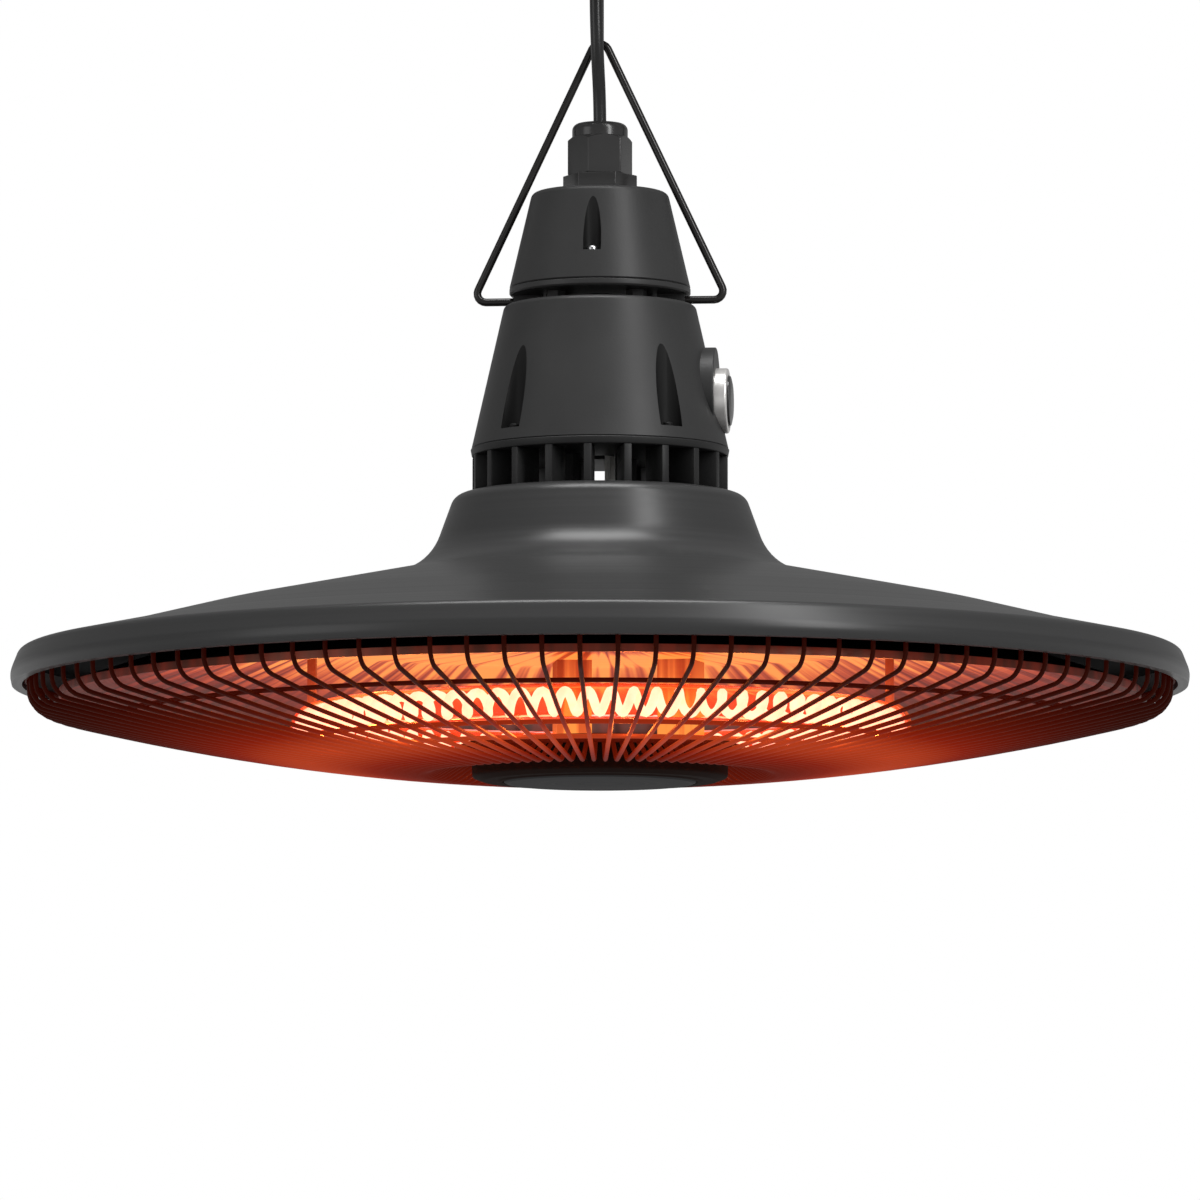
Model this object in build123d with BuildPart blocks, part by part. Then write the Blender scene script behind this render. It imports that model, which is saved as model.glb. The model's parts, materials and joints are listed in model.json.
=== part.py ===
from build123d import *
import math
import os

# Hanging infrared patio heater, in millimetres. The origin is the middle of the ceiling face, +Z is up,
# the front is -Y and the switch is on +X.

clearance = 0.3
slip = 0.15
edge_chamfer = 0.6

# Ceiling fitting
plate_radius = 30.0
plate_thickness = 2.0
plate_hole_radius = 2.25
plate_hole_spacing = 44.0
canopy_radius = 40.0
canopy_height = 26.0
canopy_wall = 1.5
canopy_corner = 7.0
stud_radius = 2.5
hook_wire_radius = 1.15
hook_bend_radius = 2.8
hook_offset = 2.8
hook_tip_rise = 9.5
hook_nut_across = 8.0
hook_nut_height = 4.0
canopy_nut_across = 8.0
canopy_nut_height = 5.0
grip_radius = 4.0
grip_length = 12.0
grip_below = 5.0
terminal_size = (22.0, 14.0, 15.5)
terminal_offset = 4.0

# Bail
wire_sides = 12
bail_drop = 147.0
bail_wire_radius = 1.45
bail_half_width = 46.5
bail_rise = 98.3
bail_corner_radius = 3.4
bail_apex_radius = 2.2
bail_end = 22.0

# Gap between the cap and the housing
neck_gap = 3.7
saddle_length = 10.0
saddle_width = 8.0
saddle_lap = 1.0
spacer_circle = 20.6
spacer_radius = 3.8

# Upper cap and its base plate
cap_base_thickness = 2.4
cap_seam = 0.2
cap_height = 34.9
cap_bottom_radius = 32.8
cap_top_radius = 24.6
cap_corner = 2.5
cap_wall = 2.5
cap_boss_radius = 5.2
cap_pocket_radius = 3.25
cap_pocket_floor = 10.4
cap_pocket_length = 26.0
pocket_tilt = 1.8

# Cable gland
gland_bore_radius = 2.6
gland_body_bore_radius = 4.6
gland_thread_below = 4.0
gland_thread_radius = 8.0
gland_collar_thickness = 1.0
gland_collar_radius = 11.0
gland_flange_across = 23.4
gland_flange_height = 5.4
gland_nut_across = 20.6
gland_nut_height = 14.0
gland_nut_bevel = 1.6
gland_dome_seat = 0.4
gland_nut_turn = 14.5
gland_dome_radius = 10.1
gland_dome_height = 5.0
gland_dome_fillet = 2.6
gland_stub_height = 8.0
seal_height = 4.0
seal_radius = 6.5

# Supply cord
cord_radius = 2.35

# Lower housing
housing_height = 52.35
housing_top_radius = 34.6
housing_bottom_radius = 46.5
housing_corner = 2.2
housing_wall = 2.5
housing_pocket_radius = 4.75
housing_pocket_floor = 4.5
housing_pocket_length = 36.0
housing_pocket_angles = (-130, -50, 50, 130)
housing_boss_radius = 6.5
terminal_strip_size = (24.0, 12.0, 10.0)

# Switch
switch_drop = 35.05
boss_radius = 16.3
boss_rise = 3.1
boss_sink = 0.2
boss_depth = 8.0
bezel_radius = 11.8
bezel_inner_radius = 9.4
bezel_length = 4.4
button_radius = 9.1
button_thickness = 3.3
button_dome = 0.9
button_travel = 1.5
barrel_radius = 7.8
switch_nut_across = 22.0
switch_nut_height = 3.0
switch_box = (15.0, 15.0, 15.0)

# Vent collar
collar_overhang = 0.3
collar_plate_thickness = 2.7
collar_plate_taper = 0.5
collar_bore_radius = 6.0
fin_count = 20
fin_inset = 0.25
fin_depth = 12.0
fin_thickness = 2.8
vent_height = 13.7
post_circle = 14.7
post_radius = 2.9
post_angles = (-130, -50, 50, 130)
sleeve_radius = 1.9
sleeve_offset = 3.6

# Shade
shade_radius = 212.5
shade_wall = 1.4
shade_bore_radius = 8.0
neck_overhang = 5.95
neck_fillet = 5.5
flare_spread = 9.55
flare_drop = 26.3
flare_fillet = 21.0
dome_inset = 70.3
dome_drop = 42.3
crease_inset = 33.0
crease_drop = 51.6
shoulder_inset = 3.2
shoulder_drop = 57.8
shoulder_fillet = 3.0
widest_drop = 66.0
rim_tuck = 0.8
rim_drop = 69.8
rim_lip = 4.5

# Reflector
reflector_drop = 50.4
reflector_flat_margin = 25.4
reflector_inset = 17.7
reflector_wall_drop = 71.5
reflector_lip = 2.9
reflector_wall = 0.8

# Heating element
element_radius = 104.6
element_drop = 83.7
tube_radius = 6.5
tube_wall = 1.0
tube_sides = 8
element_gap = 24.0
filament_width = 2.2
filament_height = 7.6
clip_wall = 1.0
clip_width = 5.0
clip_angles = (-180, 0)
end_block = (18.0, 13.0, 22.0)
end_block_overlap = 5.0
end_block_below = 2.0

# Thermal cut-out
cutout_radius = 8.0
cutout_height = 6.0
cutout_place = 40.0

# Grille
wire_count = 100
wire_width = 1.7
grille_inset = 7.0
grille_top_drop = 68.0
grille_ring_width = 2.6
grille_bowl_radius = 830.0
grille_bottom_drop = 104.2
grille_bend = 7.0
grille_neck_radius = 63.1
grille_inner_radius = 48.9
grille_inner_rise = 8.6
ring_insets = (27.5, 81.0, 104.5)
flange_inner_radius = 46.4
flange_outer_radius = 52.6
flange_thickness = 1.8
hub_lip_radius = 49.2
hub_wall = 1.2
hub_chamfer = 1.6
badge_radius = 34.6
badge_thickness = 1.0
badge_recess = 0.6
grille_clip_width = 10.0
grille_clip_height = 1.5
grille_clip_angles = (45, 135, 225, 315)


def slide(place, low, low_value, high, high_value):
    """The value a straight slope has at a place between two places."""
    return low_value + (place - low) * (high_value - low_value) / (high - low)


# Levels
leg_axis_z = -bail_drop
cap_base_z = leg_axis_z + neck_gap / 2
cap_bottom_z = cap_base_z + cap_base_thickness + cap_seam
cap_top_z = cap_bottom_z + cap_height
flange_z = cap_top_z + gland_collar_thickness
nut_z = flange_z + gland_flange_height
nut_top_z = nut_z + gland_nut_height
gland_top_z = nut_top_z + gland_dome_height
seal_z = nut_z + gland_stub_height
housing_top_z = leg_axis_z - neck_gap / 2
housing_z = housing_top_z - housing_height
collar_z = housing_z - collar_plate_thickness
neck_z = collar_z - vent_height
switch_z = housing_top_z - switch_drop
boss_face = slide(switch_z, housing_z, housing_bottom_radius, housing_top_z, housing_top_radius) - boss_sink
boss_inner_face = boss_face - boss_depth
reflector_z = neck_z - reflector_drop
element_z = neck_z - element_drop
grille_bottom_z = neck_z - grille_bottom_drop
grille_top_z = neck_z - grille_top_drop
rim_lip_z = grille_top_z + wire_width / 2
canopy_z = -canopy_height
bail_apex_z = leg_axis_z + bail_rise

# Radii that follow the pieces around them
collar_plate_radius = housing_bottom_radius + collar_overhang
fin_radius = housing_bottom_radius - fin_inset
neck_radius = housing_bottom_radius + neck_overhang
flare_radius = neck_radius + flare_spread
dome_radius = shade_radius - dome_inset
crease_radius = shade_radius - crease_inset
shoulder_radius = shade_radius - shoulder_inset
reflector_radius = shade_radius - reflector_inset
reflector_flat_radius = element_radius + reflector_flat_margin
grille_radius = shade_radius - grille_inset

os.makedirs("parts", exist_ok=True)


def save(part, name):
    """Labels a finished piece and writes it."""
    part.label = name
    export_step(part, f"parts/{name}.step")


def mitred(points, distance):
    """The corners of an open outline moved sideways by a distance, to the left of its direction."""
    moved = []
    for i, corner in enumerate(points):
        before = Vector(*points[max(i - 1, 0)])
        here = Vector(*corner)
        after = Vector(*points[min(i + 1, len(points) - 1)])
        sides = [v.normalized() for v in (here - before, after - here) if v.length > 0]
        normals = [Vector(-v.Y, v.X) for v in sides]
        middle = (normals[0] + normals[-1]).normalized()
        step = middle * (distance / middle.dot(normals[0]))
        moved.append(((here + step).X, (here + step).Y))
    return moved


def rounded(corners, radii, cuts):
    """An open outline whose corners are rounded off, each by a few straight cuts along its arc."""
    points = [corners[0]]
    for before, corner, after, radius in zip(corners, corners[1:], corners[2:], radii):
        here = Vector(*corner)
        back = (Vector(*before) - here).normalized()
        ahead = (Vector(*after) - here).normalized()
        half = back.get_angle(ahead) / 2
        centre = here + (back + ahead).normalized() * (radius / math.sin(math.radians(half)))
        start = here + back * (radius / math.tan(math.radians(half))) - centre
        turn = (180 - 2 * half) * (1 if back.cross(ahead).Z < 0 else -1)
        steps = range(cuts + 1) if radius else [0]
        for i in steps:
            point = centre + start.rotate(Axis.Z, turn * i / cuts)
            points.append((point.X, point.Y))
    return points + [corners[-1]]


def cap_radius_at(z):
    return slide(z, cap_bottom_z, cap_bottom_radius, cap_top_z, cap_top_radius)


def housing_radius_at(z):
    return slide(z, housing_z, housing_bottom_radius, housing_top_z, housing_top_radius)


# Ceiling plate
with BuildPart() as ceiling_plate:
    with BuildSketch(Plane.XY.offset(-plate_thickness)):
        Circle(plate_radius)
        with GridLocations(plate_hole_spacing, 0, 2, 1):
            Circle(plate_hole_radius, mode=Mode.SUBTRACT)
        with Locations((0, hook_offset)):
            Circle(stud_radius + clearance, mode=Mode.SUBTRACT)
    extrude(amount=plate_thickness)
save(ceiling_plate.part, "ceiling_plate")

# Supply cord: out of the gland, past the front of the hook and into the ceiling fitting
cord_points = [
    (0.0, 0.0, seal_z + seal_height),
    (0.0, 0.0, leg_axis_z + 72.0),
    (-0.3, -7.0, leg_axis_z + 89.5),
    (-0.8, -7.7, leg_axis_z + 110.0),
    (-0.8, -7.7, -plate_thickness - terminal_size[2]),
]
cord_x, cord_y, cord_end_z = cord_points[-1]
cord_radii = []
for before, here, after in zip(cord_points, cord_points[1:], cord_points[2:]):
    run_in = Vector(*here) - Vector(*before)
    run_out = Vector(*after) - Vector(*here)
    half_turn = math.radians(run_in.get_angle(run_out)) / 2
    cord_radii.append(0.45 * min(run_in.length, run_out.length) / math.tan(half_turn))
with BuildPart() as supply_cord:
    with BuildLine() as cord_line:
        FilletPolyline(*cord_points, radius=cord_radii)
    with BuildSketch(Plane(origin=cord_points[0], z_dir=(0, 0, 1))):
        Circle(cord_radius)
    sweep(path=cord_line.line)
print("cord radii", [round(r, 1) for r in cord_radii])
cord_run = cord_line.wire().length
print("cord length", round(cord_run, 1), "volume ratio", supply_cord.part.volume / (math.pi * cord_radius**2 * cord_run))
save(supply_cord.part, "supply_cord")

# Canopy cover: a turned bell with holes for the stud and for the cord grip
canopy_profile = [
    (canopy_radius, -clearance),
    (canopy_radius, canopy_z + canopy_corner),
    (canopy_radius - canopy_corner, canopy_z),
    (0.0, canopy_z),
]
canopy_inside = mitred(canopy_profile, -canopy_wall)
with BuildPart() as canopy_cover:
    with BuildSketch(Plane.XZ):
        with BuildLine():
            Polyline(*canopy_profile, *reversed(canopy_inside), close=True)
        make_face()
    revolve(axis=Axis.Z)
    with BuildSketch(Plane.XY.offset(canopy_z - clearance)):
        with Locations((0, hook_offset)):
            Circle(stud_radius + clearance)
        with Locations((cord_x, cord_y)):
            Circle(grip_radius)
    extrude(amount=canopy_wall + 2 * clearance, mode=Mode.SUBTRACT)
save(canopy_cover.part, "canopy_cover")

# Cord grip: a rubber bush in the canopy floor
with BuildPart() as cord_grip:
    with BuildSketch(Plane.XY.offset(canopy_z - grip_below)):
        with Locations((cord_x, cord_y)):
            Circle(grip_radius)
            Circle(cord_radius + slip, mode=Mode.SUBTRACT)
    extrude(amount=grip_length)
save(cord_grip.part, "cord_grip")

# Terminal block in the ceiling fitting, open below for the cord's end
with BuildPart() as ceiling_terminals:
    with BuildSketch(Plane.XY.offset(-plate_thickness)):
        with Locations((cord_x, cord_y - terminal_offset)):
            Rectangle(terminal_size[0], terminal_size[1])
    extrude(amount=-terminal_size[2])
    with BuildSketch(Plane.XY.offset(-plate_thickness - terminal_size[2])):
        with Locations((0, hook_offset)):
            Circle(hook_nut_across / math.sqrt(3) + clearance)
    extrude(amount=terminal_size[2], mode=Mode.SUBTRACT)
save(ceiling_terminals.part, "ceiling_terminals")

# Hanging hook: one wire from a threaded stud, round under the bail's apex
hook_contact = (hook_wire_radius + bail_wire_radius + slip) / math.sin(math.atan(bail_half_width / bail_rise))
hook_low_z = bail_apex_z - hook_contact
hook_bend_z = hook_low_z + hook_bend_radius
stud_low_z = canopy_z - canopy_nut_height
with BuildPart() as hanging_hook:
    with BuildLine(Plane.YZ) as hook_line:
        Polyline((hook_offset, stud_low_z), (hook_offset, hook_bend_z))
        ThreePointArc(
            (hook_offset, hook_bend_z),
            (hook_offset - hook_bend_radius, hook_low_z),
            (hook_offset - 2 * hook_bend_radius, hook_bend_z),
        )
        Line(
            (hook_offset - 2 * hook_bend_radius, hook_bend_z),
            (hook_offset - 2 * hook_bend_radius, hook_low_z + hook_tip_rise),
        )
    with BuildSketch(Plane(origin=(0, hook_offset, stud_low_z), z_dir=(0, 0, -1))):
        RegularPolygon(hook_wire_radius, wire_sides)
    sweep(path=hook_line.line)
    with BuildSketch(Plane.XY.offset(stud_low_z - clearance)):
        with Locations((0, hook_offset)):
            Circle(stud_radius)
    extrude(amount=clearance - stud_low_z - plate_thickness / 2)
save(hanging_hook.part, "hanging_hook")

# Nuts on the hook's stud: under the canopy and under the ceiling plate
with BuildPart() as canopy_nut:
    with BuildSketch(Plane.XY.offset(canopy_z)):
        with Locations((0, hook_offset)):
            RegularPolygon(canopy_nut_across / 2, 6, major_radius=False)
            Circle(stud_radius, mode=Mode.SUBTRACT)
    extrude(amount=-canopy_nut_height)
save(canopy_nut.part, "canopy_nut")

with BuildPart() as hook_nut:
    with BuildSketch(Plane.XY.offset(-plate_thickness)):
        with Locations((0, hook_offset)):
            RegularPolygon(hook_nut_across / 2, 6, major_radius=False)
            Circle(stud_radius, mode=Mode.SUBTRACT)
    extrude(amount=-hook_nut_height)
save(hook_nut.part, "hook_nut")

# Bail: one bent wire, its two ends turned in as pivots
with BuildPart() as bail_wire:
    with BuildLine(Plane.XZ) as bail_line:
        FilletPolyline(
            (bail_end, leg_axis_z),
            (bail_half_width, leg_axis_z),
            (0, bail_apex_z),
            (-bail_half_width, leg_axis_z),
            (-bail_end, leg_axis_z),
            radius=[bail_corner_radius, bail_apex_radius, bail_corner_radius],
        )
    with BuildSketch(Plane(origin=(bail_end, 0, leg_axis_z), z_dir=(1, 0, 0))):
        RegularPolygon(bail_wire_radius, wire_sides)
    sweep(path=bail_line.line)
save(bail_wire.part, "bail_wire")

# Bail saddles: blocks in the gap, with a channel that the pivots turn in
channel_radius = bail_wire_radius + slip
with BuildPart() as bail_saddles:
    with BuildSketch(Plane.YZ.offset(bail_end - saddle_lap)):
        with Locations((0, leg_axis_z)):
            Rectangle(saddle_width, neck_gap)
            Circle(channel_radius, mode=Mode.SUBTRACT)
        with Locations((0, leg_axis_z - neck_gap / 4)):
            Rectangle(2 * channel_radius, neck_gap / 2, mode=Mode.SUBTRACT)
    extrude(amount=saddle_length)
    mirror(about=Plane.YZ)
save(bail_saddles.part, "bail_saddles")

# Spacers in the gap
with BuildPart() as neck_spacers:
    with BuildSketch(Plane.XY.offset(housing_top_z)):
        with PolarLocations(spacer_circle, 4, start_angle=45):
            RegularPolygon(spacer_radius, 6)
    extrude(amount=neck_gap)
save(neck_spacers.part, "neck_spacers")

# Cap base plate
with BuildPart() as cap_base:
    with BuildSketch(Plane.XY.offset(cap_base_z)):
        Circle(cap_bottom_radius)
        Circle(gland_thread_radius, mode=Mode.SUBTRACT)
    extrude(amount=cap_base_thickness)
    chamfer(cap_base.edges().filter_by(GeomType.CIRCLE).sort_by(SortBy.RADIUS)[-2:].group_by(Axis.Z)[0], edge_chamfer)
save(cap_base.part, "cap_base")

# Upper cap: a tapered shell, thicker inside behind its two screw pockets
cap_roof_z = cap_top_z - cap_wall
cap_floor_z = cap_bottom_z + cap_pocket_floor
with BuildPart() as cap_hollow:
    with BuildSketch(Plane.XZ):
        Polygon(
            (0, cap_bottom_z),
            (cap_bottom_radius - cap_wall, cap_bottom_z),
            (cap_radius_at(cap_roof_z) - cap_wall, cap_roof_z),
            (0, cap_roof_z),
            align=None,
        )
    revolve(axis=Axis.Z)
    with BuildSketch(Plane.XY.offset(cap_bottom_z)):
        with PolarLocations(cap_radius_at(cap_floor_z) - cap_boss_radius / 2, 2, start_angle=90):
            Rectangle(3 * cap_boss_radius, 2 * cap_boss_radius)
    extrude(amount=cap_height, mode=Mode.SUBTRACT)

with BuildPart() as upper_cap:
    with BuildSketch(Plane.XZ):
        with BuildLine():
            Polyline(
                (0, cap_bottom_z),
                (cap_bottom_radius, cap_bottom_z),
                (cap_radius_at(cap_top_z - cap_corner), cap_top_z - cap_corner),
                (cap_top_radius - 0.3 * cap_corner, cap_top_z - 0.3 * cap_corner),
                (cap_top_radius - cap_corner, cap_top_z),
                (0, cap_top_z),
                close=True,
            )
        make_face()
    revolve(axis=Axis.Z)
    add(cap_hollow.part, mode=Mode.SUBTRACT)
    with BuildSketch(Plane.XY.offset(cap_roof_z - clearance)):
        Circle(gland_thread_radius)
    extrude(amount=cap_wall + 2 * clearance, mode=Mode.SUBTRACT)
    for side in (-1, 1):
        pocket_y = side * (cap_radius_at(cap_floor_z) - 0.25 * cap_pocket_radius)
        lean = (0, -side * math.tan(math.radians(pocket_tilt)), 1)
        with BuildSketch(Plane(origin=(0, pocket_y, cap_floor_z), x_dir=(1, 0, 0), z_dir=lean)):
            Circle(cap_pocket_radius)
        extrude(amount=cap_pocket_length, mode=Mode.SUBTRACT)
save(upper_cap.part, "upper_cap")

# Cable gland: body with its collar, seal and domed nut
thread_low_z = cap_roof_z - gland_thread_below
with BuildPart() as gland_body:
    with BuildSketch(Plane.XY.offset(flange_z)):
        RegularPolygon(gland_flange_across / 2, 6, major_radius=False)
    extrude(amount=gland_flange_height)
    with BuildSketch(Plane.XY.offset(cap_top_z)):
        Circle(gland_collar_radius)
    extrude(amount=gland_collar_thickness)
    with BuildSketch(Plane.XY.offset(thread_low_z)):
        Circle(gland_thread_radius)
    extrude(amount=nut_z + gland_stub_height - thread_low_z)
    with BuildSketch(Plane.XY.offset(thread_low_z)):
        Circle(gland_body_bore_radius)
    extrude(amount=nut_z + gland_stub_height - thread_low_z, mode=Mode.SUBTRACT)
save(gland_body.part, "gland_body")

with BuildPart() as gland_seal:
    with BuildSketch(Plane.XY.offset(seal_z)):
        Circle(seal_radius)
        Circle(cord_radius, mode=Mode.SUBTRACT)
    extrude(amount=seal_height)
save(gland_seal.part, "gland_seal")

nut_corner = gland_nut_across / math.sqrt(3)
nut_bevel_z = nut_top_z - gland_nut_bevel
bevel_slope = gland_nut_bevel / (nut_corner - gland_dome_radius - gland_dome_seat)
with BuildPart() as gland_nut:
    with BuildSketch(Plane.XY.offset(nut_z)):
        RegularPolygon(gland_nut_across / 2, 6, major_radius=False, rotation=gland_nut_turn)
    extrude(amount=gland_nut_height)
    with BuildSketch(Plane.XZ):
        Polygon(
            (0, nut_z),
            (gland_nut_across, nut_z),
            (gland_nut_across, nut_bevel_z - bevel_slope * (gland_nut_across - nut_corner)),
            (gland_dome_radius + gland_dome_seat, nut_top_z),
            (0, nut_top_z),
            align=None,
        )
    revolve(axis=Axis.Z, mode=Mode.INTERSECT)
    with BuildSketch(Plane.XZ):
        Polygon(
            (0, nut_top_z),
            (gland_dome_radius, nut_top_z),
            (gland_dome_radius, gland_top_z - gland_dome_fillet),
            (gland_dome_radius - 0.3 * gland_dome_fillet, gland_top_z - 0.3 * gland_dome_fillet),
            (gland_dome_radius - gland_dome_fillet, gland_top_z),
            (0, gland_top_z),
            align=None,
        )
    revolve(axis=Axis.Z)
    with BuildSketch(Plane.XY.offset(nut_z)):
        Circle(gland_thread_radius + slip)
    extrude(amount=gland_stub_height + seal_height + slip, mode=Mode.SUBTRACT)
    with BuildSketch(Plane.XY.offset(nut_z)):
        Circle(gland_bore_radius)
    extrude(amount=gland_top_z - nut_z, mode=Mode.SUBTRACT)
save(gland_nut.part, "gland_nut")

# Terminal strip on the cap base
with BuildPart() as terminal_strip:
    with BuildSketch(Plane.XY.offset(cap_base_z + cap_base_thickness)):
        Rectangle(terminal_strip_size[0], terminal_strip_size[1])
    extrude(amount=terminal_strip_size[2])
save(terminal_strip.part, "terminal_strip")

# Lower housing: a tapered shell, thicker inside behind its four screw pockets and at the switch boss
housing_floor_z = housing_z + housing_pocket_floor
housing_roof_z = housing_top_z - housing_wall
boss_z = switch_z + boss_rise
with BuildPart() as housing_hollow:
    with BuildSketch(Plane.XZ):
        Polygon(
            (0, housing_z),
            (housing_bottom_radius - housing_wall, housing_z),
            (housing_radius_at(housing_roof_z) - housing_wall, housing_roof_z),
            (0, housing_roof_z),
            align=None,
        )
    revolve(axis=Axis.Z)
    for angle in housing_pocket_angles:
        with BuildSketch(Plane.XY.offset(housing_z).rotated((0, 0, angle))):
            with Locations((housing_radius_at(housing_floor_z) - housing_boss_radius / 2, 0)):
                Rectangle(4 * housing_boss_radius, 2 * housing_boss_radius)
        extrude(amount=housing_height, mode=Mode.SUBTRACT)
    with BuildSketch(Plane.YZ.offset(boss_inner_face)):
        with Locations((0, boss_z)):
            Circle(boss_radius)
    extrude(amount=housing_bottom_radius, mode=Mode.SUBTRACT)

with BuildPart() as lower_housing:
    with BuildSketch(Plane.XZ):
        with BuildLine():
            Polyline(
                (0, housing_z),
                (housing_bottom_radius, housing_z),
                (housing_radius_at(housing_top_z - housing_corner), housing_top_z - housing_corner),
                (housing_top_radius - 0.3 * housing_corner, housing_top_z - 0.3 * housing_corner),
                (housing_top_radius - housing_corner, housing_top_z),
                (0, housing_top_z),
                close=True,
            )
        make_face()
    revolve(axis=Axis.Z)
    with BuildSketch(Plane.YZ.offset(boss_inner_face)):
        with Locations((0, boss_z)):
            Circle(boss_radius)
    extrude(amount=boss_face - boss_inner_face)
    add(housing_hollow.part, mode=Mode.SUBTRACT)
    with BuildSketch(Plane.YZ.offset(boss_face)):
        with Locations((0, switch_z)):
            Circle(bezel_radius + clearance)
    extrude(amount=housing_bottom_radius, mode=Mode.SUBTRACT)
    with BuildSketch(Plane.YZ.offset(boss_inner_face - clearance)):
        with Locations((0, switch_z)):
            Circle(barrel_radius + slip)
    extrude(amount=boss_face, mode=Mode.SUBTRACT)
    with BuildSketch(Plane.XY.offset(housing_roof_z - clearance)):
        Circle(gland_thread_radius)
    extrude(amount=housing_wall + 2 * clearance, mode=Mode.SUBTRACT)
    for angle in housing_pocket_angles:
        turn = math.radians(angle)
        out = housing_radius_at(housing_floor_z) - 0.25 * housing_pocket_radius
        lean = math.tan(math.radians(pocket_tilt))
        pocket = Plane(
            origin=(out * math.cos(turn), out * math.sin(turn), housing_floor_z),
            x_dir=(-math.sin(turn), math.cos(turn), 0),
            z_dir=(-lean * math.cos(turn), -lean * math.sin(turn), 1),
        )
        with BuildSketch(pocket):
            Circle(housing_pocket_radius)
        extrude(amount=housing_pocket_length, mode=Mode.SUBTRACT)
save(lower_housing.part, "lower_housing")

# Switch: bezel, button, body with its barrel, and nut
with BuildPart() as switch_bezel:
    with BuildSketch(Plane.YZ.offset(boss_face)):
        with Locations((0, switch_z)):
            Circle(bezel_radius)
            Circle(bezel_inner_radius, mode=Mode.SUBTRACT)
    extrude(amount=bezel_length)
    chamfer(switch_bezel.faces().sort_by(Axis.X)[-1].edges().sort_by(SortBy.RADIUS)[-1], edge_chamfer)
save(switch_bezel.part, "switch_bezel")

button_face = boss_face + button_travel + clearance + button_thickness
with BuildPart() as switch_button:
    with BuildSketch(Plane.XZ):
        with BuildLine():
            Polyline(
                (button_face - button_thickness, switch_z),
                (button_face - button_thickness, switch_z + button_radius),
                (button_face, switch_z + button_radius),
                (button_face + 0.7 * button_dome, switch_z + 0.7 * button_radius),
                (button_face + button_dome, switch_z),
                close=True,
            )
        make_face()
    revolve(axis=Axis((0, 0, switch_z), (1, 0, 0)))
save(switch_button.part, "switch_button")

nut_face = boss_inner_face - switch_nut_height
with BuildPart() as switch_body:
    with BuildSketch(Plane.YZ.offset(nut_face)):
        with Locations((0, switch_z)):
            Circle(barrel_radius)
    extrude(amount=boss_face - nut_face)
    with BuildSketch(Plane.YZ.offset(nut_face)):
        with Locations((0, switch_z)):
            Rectangle(switch_box[1], switch_box[2])
    extrude(amount=-switch_box[0])
save(switch_body.part, "switch_body")

with BuildPart() as switch_nut:
    with BuildSketch(Plane.YZ.offset(nut_face)):
        with Locations((0, switch_z)):
            RegularPolygon(switch_nut_across / 2, 6, major_radius=False)
            Circle(barrel_radius, mode=Mode.SUBTRACT)
    extrude(amount=switch_nut_height)
save(switch_nut.part, "switch_nut")

# Vent collar: a plate under the housing with radial fins that stand on the shade
with BuildPart() as vent_collar:
    with BuildSketch(Plane.XZ):
        Polygon(
            (collar_bore_radius, housing_z),
            (collar_bore_radius, collar_z),
            (collar_plate_radius - collar_plate_taper, collar_z),
            (collar_plate_radius, housing_z),
            align=None,
        )
    revolve(axis=Axis.Z)
    with BuildSketch(Plane.XY.offset(neck_z)):
        with PolarLocations(fin_radius - fin_depth / 2, fin_count):
            Rectangle(fin_depth, fin_thickness)
    extrude(amount=vent_height)
save(vent_collar.part, "vent_collar")

# Hexagonal posts between the collar and the shade, and from the shade down to the reflector
with BuildPart() as vent_posts:
    for angle in post_angles:
        with BuildSketch(Plane.XY.offset(neck_z).rotated((0, 0, angle))):
            with Locations((post_circle, 0)):
                RegularPolygon(post_radius, 6)
        extrude(amount=vent_height)
save(vent_posts.part, "vent_posts")

with BuildPart() as reflector_posts:
    for angle in post_angles:
        with BuildSketch(Plane.XY.offset(neck_z - shade_wall).rotated((0, 0, angle))):
            with Locations((post_circle, 0)):
                RegularPolygon(post_radius, 6)
        extrude(amount=reflector_z - neck_z + shade_wall)
save(reflector_posts.part, "reflector_posts")

# Lead sleeve from the housing down to the element
with BuildPart() as lead_sleeve:
    with BuildSketch(Plane.XY.offset(reflector_z)):
        with Locations((sleeve_offset, 0)):
            Circle(sleeve_radius)
    extrude(amount=housing_z + collar_plate_thickness - reflector_z)
save(lead_sleeve.part, "lead_sleeve")

# Shade: one spun sheet with a domed neck, a flared skirt and a rolled rim
shade_corners = [
    (shade_bore_radius, neck_z),
    (neck_radius, neck_z),
    (flare_radius, neck_z - flare_drop),
    (dome_radius, neck_z - dome_drop),
    (crease_radius, neck_z - crease_drop),
    (shoulder_radius, neck_z - shoulder_drop),
    (shade_radius, neck_z - widest_drop),
    (shade_radius - rim_tuck, neck_z - rim_drop),
]
shade_inside = mitred(shade_corners, -shade_wall)
with BuildPart() as shade:
    with BuildSketch(Plane.XZ):
        with BuildLine():
            Polyline(*rounded(shade_corners, [neck_fillet, flare_fillet, 0, 0, shoulder_fillet, 0], 3))
            Polyline(
                shade_corners[-1],
                (shade_radius - rim_lip, neck_z - rim_drop),
                (shade_radius - rim_lip, rim_lip_z),
                (shade_inside[-2][0], rim_lip_z),
                *reversed(shade_inside[:-1]),
                shade_corners[0],
            )
        make_face()
    revolve(axis=Axis.Z)
save(shade.part, "shade")

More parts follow.
